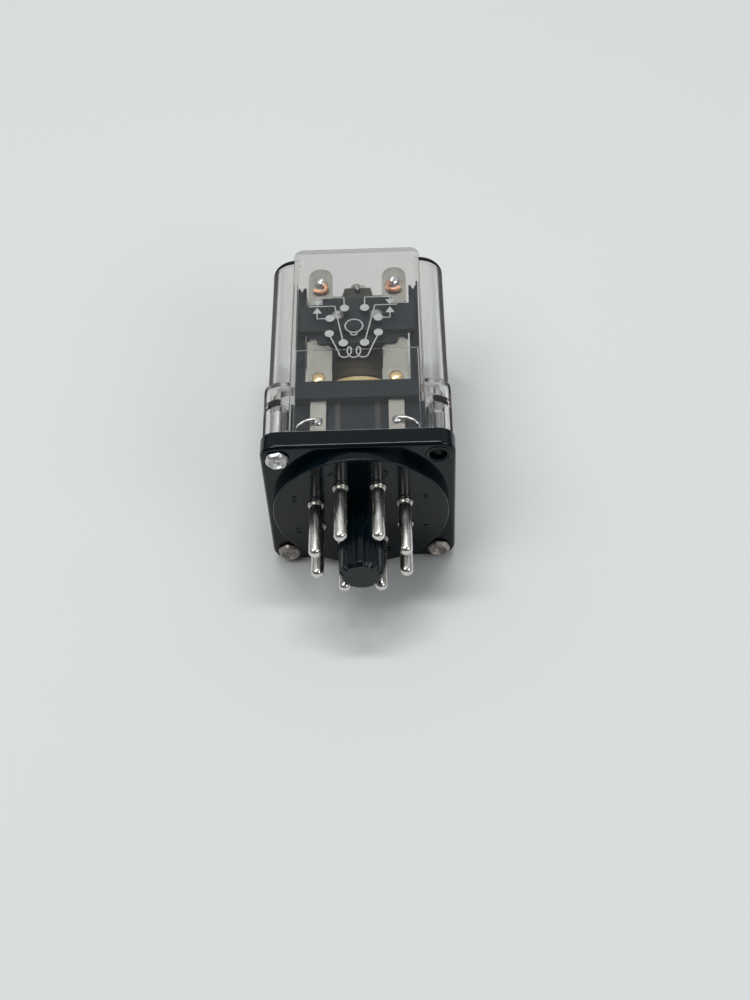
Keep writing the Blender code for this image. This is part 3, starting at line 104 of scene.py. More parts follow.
def middle_of(node):
    """The middle of a CAD node's box, in the relay's own millimetres."""
    return tuple((a + b) / 2 for a, b in zip(*inside(node)))


print("face of the disc, on the axis, in metres:", tuple(round(value, 5) for value in ORIGIN))

# %% [markdown]
# ## Modelling by hand, in code
# Every piece below is made as it would be with the mouse: add a primitive, go into edit mode,
# select some faces or edges, extrude, bevel, scale, and finish with modifiers. An operator acts
# on whatever is selected, so these helpers first deselect everything, and then select faces and
# edges by their place or their direction.

# %% Helpers for selecting and for switching modes
def only(obj):
    """Makes one object the only selected one, and the active one."""
    if bpy.context.mode != "OBJECT":
        bpy.ops.object.mode_set(mode="OBJECT")
    bpy.ops.object.select_all(action="DESELECT")
    obj.select_set(True)
    bpy.context.view_layer.objects.active = obj


def edit(obj):
    only(obj)
    bpy.ops.object.mode_set(mode="EDIT")


def choose(obj, kind, test):
    """Selects faces by middle and normal, or edges by middle and direction, in the relay's millimetres."""
    bpy.ops.mesh.select_mode(type=kind)
    bpy.ops.mesh.select_all(action="DESELECT")
    shape = bmesh.from_edit_mesh(obj.data)
    if kind == "FACE":
        for face in shape.faces:
            middle = (face.calc_center_median() - ORIGIN) / MM
            face.select_set(bool(test(middle, face.normal)))
    else:
        for edge in shape.edges:
            ends = [vert.co for vert in edge.verts]
            middle = ((ends[0] + ends[1]) / 2 - ORIGIN) / MM
            edge.select_set(bool(test(middle, (ends[1] - ends[0]).normalized())))
    shape.select_flush_mode()
    bmesh.update_edit_mesh(obj.data)


def near(a, b):
    """True for two measures that are the same, to a hundredth of a millimetre."""
    return abs(a - b) < 0.01


def runs_along_y(middle, way):
    return abs(way.y) > 0.9


def apply_place(obj):
    """Moves an object's place, turn and scale into its mesh, so that the object sits at the origin."""
    only(obj)
    bpy.ops.object.transform_apply(location=True, rotation=True, scale=True)


def apply_modifier(obj, kind, **settings):
    only(obj)
    modifier = obj.modifiers.new(kind.title(), kind)
    for setting, value in settings.items():
        setattr(modifier, setting, value)
    bpy.ops.object.modifier_apply(modifier=modifier.name)


def named(name):
    """Names the object that was just added."""
    made = bpy.context.object
    made.name = name
    made.data.name = name
    return made


def smooth(obj, degrees=35):
    """Smooth shading, broken at the edges that are sharper than an angle."""
    only(obj)
    bpy.ops.object.shade_smooth_by_angle(angle=math.radians(degrees))
    return obj


def carve(obj, tool):
    """Cuts one shape out of another. The tool is used up."""
    apply_modifier(obj, "BOOLEAN", operation="DIFFERENCE", solver="EXACT", object=tool)
    bpy.data.objects.remove(tool, do_unlink=True)


def fuse(obj, *others):
    for other in others:
        apply_modifier(obj, "BOOLEAN", operation="UNION", solver="EXACT", object=other)
        bpy.data.objects.remove(other, do_unlink=True)
    return obj


def round_edges(obj, width, segments, test):
    """Bevels the edges that pass a test."""
    edit(obj)
    choose(obj, "EDGE", test)
    bpy.ops.mesh.bevel(offset=width * MM, segments=segments, affect="EDGES", clamp_overlap=True)
    bpy.ops.object.mode_set(mode="OBJECT")
    return obj


def flatten(obj, degrees=35):
    """Smooth shading in which the large faces keep their own flat normals."""
    smooth(obj, degrees)
    apply_modifier(obj, "WEIGHTED_NORMAL", keep_sharp=True, weight=60)
    return obj


print("helpers ready: only, edit, choose, carve, fuse, round_edges, flatten")

# %% [markdown]
# ## Two starting shapes
# Most pieces of a relay are either stamped and moulded blocks, or turned rounds. A block starts
# as a cube of the right size. A round starts as a flat circle that is extruded ring by ring, each
# ring scaled to its own radius. The round stands on its own z, and is then laid along the axis
# that it has on the relay.

# %% A block and a turned round
TURN = {"Z": (0, 0, 0), "Y": (-math.pi / 2, 0, 0), "X": (0, math.pi / 2, 0)}


def block(name, x0, x1, y0, y1, z0, z1):
    """A cube primitive, at its size and place."""
    bpy.ops.object.select_all(action="DESELECT")
    middle = at((x0 + x1) / 2, (y0 + y1) / 2, (z0 + z1) / 2)
    size = ((x1 - x0) * MM, (y1 - y0) * MM, (z1 - z0) * MM)
    bpy.ops.mesh.primitive_cube_add(size=1, location=middle, scale=size)
    made = named(name)
    apply_place(made)
    return made


def turned(name, stations, place, axis="Y", sides=48):
    """A circle, extruded from station to station. A station is (height, radius)."""
    bpy.ops.object.select_all(action="DESELECT")
    height, radius = stations[0]
    bpy.ops.mesh.primitive_circle_add(
        vertices=sides, radius=radius * MM, fill_type="NGON", location=(0, 0, height * MM)
    )
    made = named(name)
    apply_place(made)
    edit(made)
    bpy.ops.mesh.select_all(action="SELECT")
    for next_height, next_radius in stations[1:]:
        bpy.ops.mesh.extrude_region_move(
            TRANSFORM_OT_translate={"value": (0, 0, (next_height - height) * MM)}
        )
        ratio = next_radius / radius
        bpy.ops.transform.resize(value=(ratio, ratio, 1), center_override=(0, 0, 0))
        height, radius = next_height, next_radius
    bpy.ops.mesh.select_all(action="SELECT")
    bpy.ops.mesh.normals_make_consistent(inside=False)
    bpy.ops.object.mode_set(mode="OBJECT")
    made.rotation_euler = TURN[axis]
    made.location = at(*place)
    apply_place(made)
    return smooth(made)


def rounded(centre_height, radius, start, end, steps, centre_radius=0.0):
    """Stations along a quarter round, from one angle to another, in degrees."""
    found = []
    for step in range(steps + 1):
        angle = math.radians(start + (end - start) * step / steps)
        found.append((
            centre_height + radius * math.sin(angle),
            max(centre_radius + radius * math.cos(angle), 0.01),
        ))
    return found


def outline(name, points, axis, start, end):
    """A flat outline in (x, y) or (x, z), filled and extruded along the third axis."""
    bpy.ops.object.select_all(action="DESELECT")
    bpy.ops.mesh.primitive_circle_add(vertices=len(points), radius=MM, fill_type="NGON")
    made = named(name)
    for vert, (a, b) in zip(made.data.vertices, points):
        vert.co = at(a, b, start) if axis == "Z" else at(a, start, b)
    edit(made)
    bpy.ops.mesh.select_all(action="SELECT")
    along = Vector((0, 0, 1)) if axis == "Z" else Vector((0, 1, 0))
    bpy.ops.mesh.extrude_region_move(TRANSFORM_OT_translate={"value": along * (end - start) * MM})
    bpy.ops.mesh.select_all(action="SELECT")
    bpy.ops.mesh.normals_make_consistent(inside=False)
    bpy.ops.object.mode_set(mode="OBJECT")
    made.location = (0, 0, 0)
    return made


print("shapes ready: block, turned, outline")

# %% [markdown]
# ## From a shape to a piece of the relay
# A finished shape gets its finish, and the body that it rides on: the relay itself, or the
# armature. Where it stands for a CAD node, that node is hidden.

# %% Copying, joining and settling a piece
RELAY, ARMATURE = "relay", "armature"


def copy_of(obj, name):
    """A copy with its own mesh."""
    made = obj.copy()
    made.data = obj.data.copy()
    made.name = name
    made.data.name = name
    bpy.context.scene.collection.objects.link(made)
    return made


def joined(pieces):
    """One object of several. It keeps the name of the first."""
    only(pieces[0])
    for piece in pieces[1:]:
        piece.select_set(True)
    bpy.ops.object.join()
    return bpy.context.object


def paint(obj, finish):
    obj.data.materials.clear()
    obj.data.materials.append(finish)


def settle(piece, finish, body, node=None):
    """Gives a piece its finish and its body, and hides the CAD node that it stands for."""
    paint(piece, finish)
    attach(piece, body)
    if node:
        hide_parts(node)


print("bodies:", RELAY, ARMATURE)

# %% [markdown]
# ## Finishes
# A finish is a Principled shader whose roughness, bump and colour come from small procedural
# patterns. All patterns are in Object coordinates, which here are metres on the table, so one
# millimetre of grain is a noise of scale 1000. A value that is the same all over is set on the
# shader's own socket, and only what varies is linked. The room's light is a node graph as well,
# so the helpers that both need are a class of their own.

# %% Helpers for node graphs and finishes
RANGE_SOCKETS = ("From Min", "From Max", "To Min", "To Max")


class Graph:
    """A node tree, with short ways to add nodes and to calculate with their outputs."""

    def __init__(self, tree):
        self.nodes = tree.nodes
        self.links = tree.links

    def node(self, kind, **settings):
        made = self.nodes.new("ShaderNode" + kind)
        for setting, value in settings.items():
            setattr(made, setting, value)
        return made

    def link(self, source, target):
        self.links.new(source, target)

    def split(self, vector):
        """The X, Y and Z of a vector."""
        made = self.node("SeparateXYZ")
        self.link(vector, made.inputs["Vector"])
        return [made.outputs[axis] for axis in "XYZ"]

    def ramp(self, value, low, high, out_low=0.0, out_high=1.0, kind="LINEAR"):
        """Maps one range onto another and stays inside it."""
        made = self.node("MapRange", clamp=True, interpolation_type=kind)
        for socket, number in zip(RANGE_SOCKETS, (low, high, out_low, out_high)):
            made.inputs[socket].default_value = number
        self.link(value, made.inputs["Value"])
        return made.outputs["Result"]

    def maths(self, operation, *values):
        """A value is a number or another node's output."""
        made = self.node("Math", operation=operation)
        for socket, value in zip(made.inputs, values):
            if isinstance(value, (int, float)):
                socket.default_value = value
            else:
                self.link(value, socket)
        return made.outputs["Value"]

    def times(self, first, second):
        return self.maths("MULTIPLY", first, second)

    def larger(self, first, second):
        return self.maths("MAXIMUM", first, second)

    def above(self, value, limit):
        return self.maths("GREATER_THAN", value, limit)

    def apart(self, value, middle):
        """How far a value is from a middle, to either side."""
        return self.maths("ABSOLUTE", self.maths("SUBTRACT", value, middle))


class Finish(Graph):
    """A Principled material with short ways to vary its colour, roughness and bump."""

    def __init__(self, name, colour, roughness, metallic=0.0, **sockets):
        self.material = bpy.data.materials.new(name)
        self.material.use_nodes = True
        super().__init__(self.material.node_tree)
        self.shader = self.nodes["Principled BSDF"]
        self.colour = colour
        self.shader.inputs["Base Color"].default_value = (*colour, 1)
        self.shader.inputs["Roughness"].default_value = roughness
        self.shader.inputs["Metallic"].default_value = metallic
        for socket, value in sockets.items():
            self.shader.inputs[socket.replace("_", " ")].default_value = value
        self.height = None

    def space(self, stretch=(1, 1, 1)):
        """Object coordinates, in millimetres, stretched along each axis by a factor."""
        coordinates = self.node("TexCoord")
        mapping = self.node("Mapping")
        self.link(coordinates.outputs["Object"], mapping.inputs["Vector"])
        mapping.inputs["Scale"].default_value = [factor / MM for factor in stretch]
        return mapping.outputs["Vector"]

    def noise(self, size, stretch=(1, 1, 1), detail=3.0, rough=0.5):
        """Noise whose blobs are about a size across, in millimetres."""
        made = self.node("TexNoise")
        made.inputs["Scale"].default_value = 1 / size
        made.inputs["Detail"].default_value = detail
        made.inputs["Roughness"].default_value = rough
        self.link(self.space(stretch), made.inputs["Vector"])
        return made.outputs["Fac"]

    def cells(self, size):
        """The distance from the middle of the nearest cell."""
        made = self.node("TexVoronoi")
        made.inputs["Scale"].default_value = 1 / size
        self.link(self.space(), made.inputs["Vector"])
        return made.outputs["Distance"]

    def bands(self, direction, scale, distortion=0.0, **settings):
        """Even stripes across one axis."""
        made = self.node("TexWave", wave_type="BANDS", bands_direction=direction, **settings)
        made.inputs["Scale"].default_value = scale
        made.inputs["Distortion"].default_value = distortion
        self.link(self.space(), made.inputs["Vector"])
        return made.outputs["Fac"]

    def mix(self, share, first, second):
        """Two colours, mixed by a pattern."""
        made = self.node("Mix", data_type="RGBA")
        factor = next(item for item in made.inputs if item.type == "VALUE" and item.enabled)
        self.link(share, factor)
        sockets = [item for item in made.inputs if item.type == "RGBA"]
        for socket, value in zip(sockets, (first, second)):
            if isinstance(value, tuple):
                socket.default_value = (*value, 1)
            else:
                self.link(value, socket)
        return next(item for item in made.outputs if item.type == "RGBA")

    def tint(self, share, colour):
        """Lays another colour over the base colour where a pattern is high."""
        socket = self.shader.inputs["Base Color"]
        below = socket.links[0].from_socket if socket.links else self.colour
        self.link(self.mix(share, below, colour), socket)
        return self

    def vary(self, socket, value, low, high, out_low, out_high):
        """Lets a pattern move one of the shader's numbers between two values."""
        self.link(self.ramp(value, low, high, out_low, out_high), self.shader.inputs[socket])
        return self

    def raise_by(self, value, millimetres):
        """Adds a pattern to the surface's height. Bumps follow each other in a chain."""
        bump = self.node("Bump")
        bump.inputs["Strength"].default_value = 1.0
        bump.inputs["Distance"].default_value = millimetres * MM
        self.link(value, bump.inputs["Height"])
        if self.height is not None:
            self.link(self.height, bump.inputs["Normal"])
        self.height = bump.outputs["Normal"]
        self.link(self.height, self.shader.inputs["Normal"])
        return self


print("finish helpers ready")

# %% [markdown]
# ## Camera, floor and light
# The camera looks down at the pins from in front, at 54 degrees. It stands a good way off and
# has a long lens, so that the relay is small in a tall frame. The floor is plain and pale. Metal
# and clear plastic look like what they are only when they have both pale and dark things to
# mirror, so the room that they mirror is dark at the horizon and behind the camera, and pale
# overhead. Where the camera looks at the room itself, past the floor, it is pale everywhere. Two
# soft lamps light the relay from the sides, a thin one overhead draws bright lines along its
# edges, and a weak one lights the floor behind it.

# %% The camera
LENS_MM = 73.45
SENSOR_MM = 36.0
CAMERA_PLACE = at(8.73, -162.857, 226.792)
LOOK_DOWN = math.radians(53.799)
LOOK_ASIDE = math.radians(-2.128)
ROLL = math.radians(-3.318)

bpy.ops.object.select_all(action="DESELECT")
bpy.ops.object.camera_add(location=CAMERA_PLACE)
camera = bpy.context.object
forward = Vector((
    math.sin(LOOK_ASIDE) * math.cos(LOOK_DOWN),
    math.cos(LOOK_ASIDE) * math.cos(LOOK_DOWN),
    -math.sin(LOOK_DOWN),
))
level = Vector((math.cos(LOOK_ASIDE), -math.sin(LOOK_ASIDE), 0))
upright = level.cross(forward)
right = math.cos(ROLL) * level + math.sin(ROLL) * upright
up = -math.sin(ROLL) * level + math.cos(ROLL) * upright
turn = Matrix((right, up, -forward)).transposed().to_4x4()
camera.matrix_world = Matrix.Translation(CAMERA_PLACE) @ turn
camera.data.sensor_fit = "HORIZONTAL"
camera.data.sensor_width = SENSOR_MM
camera.data.lens = LENS_MM
camera.data.clip_start = 0.01
camera.data.clip_end = 20
bpy.context.scene.camera = camera
bpy.context.scene.view_settings.view_transform = "Standard"
print("camera at", tuple(round(value, 4) for value in CAMERA_PLACE))

# %% The floor
FLOOR_PALE = (0.640, 0.652, 0.648)

bpy.ops.mesh.primitive_plane_add(size=6, location=(0, 0, 0))
floor = named("floor")
paint(floor, Finish("floor_pale", FLOOR_PALE, 0.85, Specular_IOR_Level=0.2).material)
print("floor:", FLOOR_PALE)

# %% The room that shiny surfaces mirror
WORLD_GREY = (0.60, 0.63, 0.65)
SEEN_STRENGTH = 0.8
HORIZON_TO_OVERHEAD = (0.05, 0.55, 0.10, 0.85)
BEHIND_TO_AHEAD = (-0.60, 0.10, 0.18, 1.0)

world = bpy.data.worlds.new("soft_room")
bpy.context.scene.world = world
world.use_nodes = True
air = Graph(world.node_tree)
_, ahead, overhead = air.split(air.node("TexCoord").outputs["Generated"])
mirrored = air.times(
    air.ramp(overhead, *HORIZON_TO_OVERHEAD, "SMOOTHSTEP"),
    air.ramp(ahead, *BEHIND_TO_AHEAD, "SMOOTHSTEP"),
)
looked_at = air.node("LightPath").outputs["Is Camera Ray"]
sky = air.nodes["Background"]
sky.inputs["Color"].default_value = (*WORLD_GREY, 1)
air.link(air.maths("MULTIPLY_ADD", looked_at, SEEN_STRENGTH, mirrored), sky.inputs["Strength"])
print("room:", world.name)

# %% Four soft lamps
def lamp(name, place, aim, size, watts, colour=(1, 1, 1)):
    """A soft rectangular lamp that looks at a point on the relay. Sizes are in metres."""
    bpy.ops.object.light_add(type="AREA", location=place)
    made = named(name)
    made.data.shape = "RECTANGLE"
    made.data.size, made.data.size_y = size
    made.data.energy = watts
    made.data.color = colour
    made.rotation_euler = (Vector(aim) - Vector(place)).to_track_quat("-Z", "Y").to_euler()


lamp("key", (-0.35, -0.15, 0.75), (0, 0, 0.01), (0.45, 0.45), 2.2)
lamp("fill", (0.55, -0.45, 0.55), (0, 0, 0.01), (0.5, 0.35), 1.6, (0.96, 0.98, 1))
lamp("strip", (0, 0.20, 0.77), (0, 0, 0.01), (0.42, 0.06), 2.7)
lamp("back", (0.25, 0.85, 0.22), (0, 0, 0.02), (0.8, 0.2), 0.25, (0.95, 0.98, 1))

# %% [markdown]
# ## Black phenolic
# The base is a glossy black thermoset moulding. Its gloss is broken by very faint flow marks and
# by a few pale specks of filler and dust. The contact block is the same resin with a duller skin,
# and the tops of its two raised ribs carry a paler tint, a painted highlight. The card is a
# cloth-filled laminate with a fine weave.

# %% Phenolic for the base
def phenolic(name, colour, roughness, flow, specks, gloss):
    """A moulded resin with flow marks of a height in millimetres, and a share of pale specks."""
    made = Finish(name, colour, roughness, IOR=1.5, Specular_IOR_Level=gloss)
    cloudy = made.noise(6.0, (1, 0.5, 1), 4)
    made.vary("Roughness", cloudy, 0.3, 0.75, roughness * 0.75, roughness * 1.35)
    dust = made.ramp(made.cells(0.55), 0.055, 0.02)
    patchy = made.ramp(made.noise(2.6), 0.5, 0.72)
    made.tint(made.times(made.times(dust, patchy), specks), (0.30, 0.31, 0.31))
    made.raise_by(made.noise(3.2, (1, 0.4, 1), 2), flow)
    made.raise_by(made.noise(0.18, detail=2), flow * 0.12)
    return made


BASE_BLACK = phenolic("phenolic_gloss", (0.0012, 0.0042, 0.0064), 0.12, 0.006, 0.55, 0.28).material
print("base:", BASE_BLACK.name)

# %% Phenolic for the block, with a painted highlight on its two ribs
RIB_MIDDLE = 3.6
RIB_HALF_WIDTH = 0.5
RIB_FRONT = 13.5
RIB_TOP_DEPTH = 0.12

resin = phenolic("phenolic_block", (0.006, 0.009, 0.011), 0.34, 0.012, 0.25, 0.16)
resin_x, _, resin_z = resin.split(resin.space())
from_rib = resin.apart(resin.apart(resin_x, 0), RIB_MIDDLE)
on_rib = resin.ramp(from_rib, RIB_HALF_WIDTH + 0.1, RIB_HALF_WIDTH - 0.2)
from_front = resin.apart(resin_z, at(0, 0, RIB_FRONT).z / MM)
rib_highlight = resin.times(on_rib, resin.maths("LESS_THAN", from_front, RIB_TOP_DEPTH))
# The tops of the two ribs are tinted paler: a painted highlight.
resin.tint(resin.times(rib_highlight, 0.8), (0.050, 0.044, 0.046))
BLOCK_BLACK = resin.material
print("contact block:", BLOCK_BLACK.name)

# %% The card's laminate
WEAVE_SCALE = 1.1

laminate = Finish("phenolic_laminate", (0.007, 0.010, 0.012), 0.42, IOR=1.5, Specular_IOR_Level=0.15)
weave = laminate.larger(laminate.bands("X", WEAVE_SCALE), laminate.bands("Y", WEAVE_SCALE))
laminate.tint(laminate.ramp(weave, 0.4, 1.0, 0.0, 0.45), (0.019, 0.022, 0.025))
laminate.vary("Roughness", laminate.noise(1.6), 0.3, 0.7, 0.34, 0.5)
laminate.raise_by(weave, 0.004)
CARD_BLACK = laminate.material
print("card:", CARD_BLACK.name)

# %% [markdown]
# ## Metals
# A metal's colour is the colour of its reflection. What tells plated steel from tinned copper is
# how sharp that reflection is and what breaks it: drawing lines along a pin, tumbling dents on a
# rivet, a grey bloom on zinc. Each metal below is one colour, one roughness range, one set of
# fine lines and one slow stain.

# %% Metal finishes
EVEN = (1, 1, 1)
ALONG_X = (0.08, 1, 1)
ALONG_Y = (1, 0.06, 1)


def metal(name, colour, rough_low, rough_high, lines=EVEN, depth=0.002, stain=None, share=0.4):
    """Fine lines run along the axis whose factor in lines is small. The stain covers a share."""
    made = Finish(name, colour, (rough_low + rough_high) / 2, 1.0)
    streaks = made.noise(0.22, lines, 3, 0.6)
    made.vary("Roughness", streaks, 0.3, 0.7, rough_low, rough_high)
    if stain:
        slow = made.ramp(made.noise(1.7, detail=5, rough=0.62), 0.48, 0.74, 0.0, share)
        made.tint(slow, stain)
    made.raise_by(streaks, depth)
    return made.material


NICKEL = metal("nickel_pin", (0.76, 0.74, 0.70), 0.16, 0.34, ALONG_Y, 0.0035, (0.36, 0.34, 0.30), 0.5)
BLADE = metal("nickel_silver", (0.32, 0.315, 0.285), 0.34, 0.50, (1, 0.07, 1), 0.002, (0.28, 0.26, 0.22))
STEEL = metal("zinc_steel", (0.60, 0.60, 0.57), 0.26, 0.42, ALONG_X, 0.003, (0.42, 0.39, 0.31), 0.5)
OXIDE = metal("dark_steel", (0.055, 0.052, 0.045), 0.30, 0.48, (0.1, 1, 1), 0.003, (0.06, 0.05, 0.035), 0.5)
IRON = metal("soft_iron", (0.50, 0.49, 0.47), 0.26, 0.44, EVEN, 0.004, (0.33, 0.29, 0.24), 0.5)
SPRING = metal("spring_steel", (0.62, 0.61, 0.58), 0.16, 0.28, EVEN, 0.001)
ZINC = metal("zinc_rivet", (0.66, 0.66, 0.65), 0.28, 0.48, EVEN, 0.010, (0.40, 0.39, 0.37), 0.6)
# A darker, browner copy of the zinc for the two lower rivets: painted shade.
SHADED_ZINC = metal("shaded_zinc", (0.44, 0.405, 0.37), 0.40, 0.62, EVEN, 0.012, (0.26, 0.22, 0.18), 0.6)
DULL_BRASS = metal("dull_rivet", (0.30, 0.295, 0.28), 0.42, 0.62, EVEN, 0.006, (0.28, 0.26, 0.22), 0.5)
BRASS = metal("brass", (0.80, 0.61, 0.30), 0.18, 0.34, EVEN, 0.003, (0.46, 0.33, 0.16))
COPPER = metal("copper", (0.86, 0.47, 0.31), 0.22, 0.38, EVEN, 0.002, (0.42, 0.20, 0.13), 0.5)
TINNED = metal("tinned_copper", (0.74, 0.73, 0.70), 0.16, 0.32, EVEN, 0.003, (0.50, 0.47, 0.42))
SOLDER = metal("solder", (0.82, 0.82, 0.81), 0.08, 0.22, EVEN, 0.006, (0.48, 0.47, 0.44), 0.3)
GOLD = metal("contact_gold", (0.95, 0.72, 0.38), 0.16, 0.30, EVEN, 0.002, (0.62, 0.42, 0.18))
print("metals: 14, from", NICKEL.name, "to", GOLD.name)

# %% [markdown]
# ## Clear polycarbonate
# The cover is a thin clear moulding. Its shader lets light through with the plastic's own
# refraction. Age has dulled its gloss a little, so the tint of its specular layer tones its
# reflections down. The skin has a slight waviness from the mould, and a few faint handling
# scratches.

# %% The cover's skin
clear = Finish("polycarbonate", (0.965, 0.975, 0.975), 0.015, IOR=1.586, Transmission_Weight=1.0)
clear.shader.inputs["Specular Tint"].default_value = (0.60, 0.60, 0.60, 1)
clear.vary("Roughness", clear.noise(2.2, detail=4), 0.35, 0.8, 0.008, 0.05)
clear.raise_by(clear.noise(9.0, detail=1), 0.010)
scratch = clear.ramp(clear.noise(0.3, (1, 0.03, 1), 2, 0.5), 0.66, 0.74)
clear.raise_by(clear.times(scratch, clear.ramp(clear.noise(5.0), 0.5, 0.65)), 0.0012)
print("cover's skin:", clear.material.name)

# %% [markdown]
# ## Rays in a thin clear wall
# A shadow ray is let straight through the plastic, so that the lamps reach the mechanism as they
# do in a real clear box. So is a ray that is caught in a wall and has turned three times, and one
# that leaves through the end wall from inside. Wherever the skin is seen at a slant, and round the
# far end, a dark see-through tint of painted shade is laid on it, darkest on the body's shoulder.
# Only the first skin that a ray meets has the painted shade.

# %% Rays that pass straight through
COVER_END = 51.0
WALL = 1.0
END_ROUND = 0.35
PANEL_STARTS = (15.2, 14.6)

ray = clear.node("LightPath").outputs
_, along, upwards = clear.split(clear.space())
end_wall = clear.above(along, at(0, COVER_END - WALL - 0.05, 0).y / MM)
been_in = clear.above(ray["Transmission Depth"], 0.5)
caught = clear.above(ray["Glossy Depth"], 2.5)
passing = clear.larger(clear.larger(ray["Is Shadow Ray"], caught), clear.times(end_wall, been_in))
print("straight through: shadow rays, caught rays, and rays that leave by the end wall")

# %% The band of painted shade
slant = clear.node("LayerWeight")
slant.inputs["Blend"].default_value = 0.5
side_rim = clear.ramp(slant.outputs["Facing"], 0.54, 0.62)
_, faces_end, _ = clear.split(clear.node("NewGeometry").outputs["Normal"])
end_edge = clear.above(along, at(0, COVER_END - WALL - END_ROUND, 0).y / MM)
end_rim = clear.times(end_edge, clear.maths("LESS_THAN", faces_end, 0.5))
on_body = clear.ramp(clear.apart(upwards, ORIGIN.z / MM), *PANEL_STARTS)
shoulder = clear.times(end_rim, on_body)
# The rim masks below mark where the painted shade goes.
rim = clear.larger(side_rim, clear.larger(clear.times(end_rim, 0.45), shoulder))
rim_seen = clear.times(rim, clear.maths("SUBTRACT", 1.0, been_in))
passing = clear.larger(passing, clear.times(rim_seen, clear.ramp(shoulder, 0, 1, 0.88, 0.97)))
print("band: at a slant, and in the last", WALL + END_ROUND, "mm of the cover")

# %% Glass, or straight through
off_rim_tint = clear.mix(ray["Is Shadow Ray"], (0.95, 0.94, 0.93), (0.62, 0.61, 0.60))
# Dark see-through colour on the rim: painted shade, darkest on the body's shoulder.
painted_rim_shade = clear.mix(shoulder, (0.27, 0.24, 0.23), (0.07, 0.065, 0.065))
straight = clear.node("BsdfTransparent")
clear.link(clear.mix(rim_seen, off_rim_tint, painted_rim_shade), straight.inputs["Color"])
either = clear.node("MixShader")
clear.link(passing, either.inputs["Fac"])
clear.link(clear.shader.outputs["BSDF"], either.inputs[1])
clear.link(straight.outputs["BSDF"], either.inputs[2])
smoke = clear.node("VolumeAbsorption")
smoke.inputs["Color"].default_value = (0.42, 0.36, 0.30, 1)
smoke.inputs["Density"].default_value = 75.0
surface = clear.nodes["Material Output"]
clear.link(either.outputs["Shader"], surface.inputs["Surface"])
clear.link(smoke.outputs["Volume"], surface.inputs["Volume"])
CLEAR = clear.material
print("cover:", CLEAR.name)

# %% [markdown]
# ## Print
# The diagram on the cover is screen-printed in a pale ink, thin enough to be a little uneven. The
# numbers on its dots are a shade darker.

# %% Two inks
def print_ink(name, colour, thin_colour):
    made = Finish(name, colour, 0.6)
    made.tint(made.ramp(made.noise(0.35, detail=4), 0.45, 0.75, 0, 0.5), thin_colour)
    return made


ink = print_ink("pale_ink", (0.37, 0.39, 0.38), (0.29, 0.31, 0.30))
ink.raise_by(ink.noise(0.12), 0.004)
INK = ink.material
INK_SHADE = print_ink("dim_ink", (0.32, 0.335, 0.33), (0.26, 0.275, 0.27)).material
print("print:", INK.name, INK_SHADE.name)

# %% [markdown]
# ## Coil finishes
# The bobbin is amber nylon, a little translucent. The winding is wrapped in dark varnished tape
# whose turns overlap in a slow spiral. The two lead sleeves are woven cotton, dipped in varnish.

# %% Nylon, tape and sleeving
nylon = Finish("amber_nylon", (0.66, 0.52, 0.25), 0.34, Subsurface_Weight=0.15, Subsurface_Scale=0.001)
nylon.tint(nylon.ramp(nylon.noise(1.4, detail=4), 0.4, 0.7, 0, 0.5), (0.60, 0.40, 0.13))
nylon.raise_by(nylon.noise(0.5), 0.004)
NYLON = nylon.material

tape = Finish("varnished_tape", (0.062, 0.050, 0.024), 0.30, Coat_Weight=0.35, Coat_Roughness=0.2)
tape.tint(tape.ramp(tape.noise(0.25, (1, 5, 1), 3), 0.35, 0.7, 0, 0.55), (0.034, 0.026, 0.014))
tape.raise_by(tape.bands("Y", 0.055, 0.6, wave_profile="SAW"), 0.05)
tape.raise_by(tape.noise(0.3, (1, 5, 1)), 0.006)
TAPE = tape.material

sleeve = Finish("lead_sleeve", (0.36, 0.055, 0.030), 0.48, Coat_Weight=0.2)
sleeve.tint(sleeve.ramp(sleeve.cells(0.16), 0.25, 0.6, 0, 0.6), (0.20, 0.030, 0.018))
sleeve.raise_by(sleeve.cells(0.16), 0.02)
SLEEVE = sleeve.material
print("coil:", NYLON.name, TAPE.name, SLEEVE.name)

# %% [markdown]
# ## Routes and round wires
# A wire is a curve with a round bevel. It follows a few points of its route, joined by a smooth
# curve that passes through all of them, and becomes a mesh before it is placed.

# %% A smooth route, its mirror image, and a tube along it
SIDES = (("left", -1), ("right", 1))


def smooth_route(points, steps):
    """Points on a Catmull-Rom curve through a route, in the relay's millimetres."""
    knots = [Vector(point) for point in points]
    knots = [2 * knots[0] - knots[1], *knots, 2 * knots[-1] - knots[-2]]
    route = []
    for before, start, end, after in zip(knots, knots[1:], knots[2:], knots[3:]):
        for step in range(steps):
            t = step / steps
            route.append(0.5 * (
                2 * start
                + (end - before) * t
                + (2 * before - 5 * start + 4 * end - after) * t**2
                + (3 * start - before - 3 * end + after) * t**3
            ))
    route.append(knots[-2])
    return route


def both_sides(route, steps):
    """Each side's name and smooth route, from the points of the right side's route."""
    for side, sign in SIDES:
        yield side, smooth_route([(sign * x, y, z) for x, y, z in route], steps)


def tube(name, routes, radius, roundness=3):
    """One mesh of round wires, each along its own route."""
    bpy.ops.object.select_all(action="DESELECT")
    bpy.ops.curve.primitive_bezier_curve_add()
    made = named(name)
    made.location = (0, 0, 0)
    made.data.dimensions = "3D"
    made.data.bevel_depth = radius * MM
    made.data.bevel_resolution = roundness
    made.data.use_fill_caps = True
    made.data.splines.clear()
    for route in routes:
        spline = made.data.splines.new("POLY")
        spline.points.add(len(route) - 1)
        for knot, point in zip(spline.points, route):
            knot.co = (*at(*point), 1)
    only(made)
    bpy.ops.object.convert(target="MESH")
    return smooth(named(name), 60)


print("a route, for both sides, and a tube along it")

# %% [markdown]
# ## The base moulding
# The base is one black moulding: a square flange with round corners, a round disc in front of it,
# and a fluted post with a key that guides the plug into its socket. The flange is a cube whose
# long edges are bevelled, the disc is turned, and the post is an outline that is extruded, with
# its end drawn in by a scaled extrusion. Boolean modifiers make one moulding of the three.

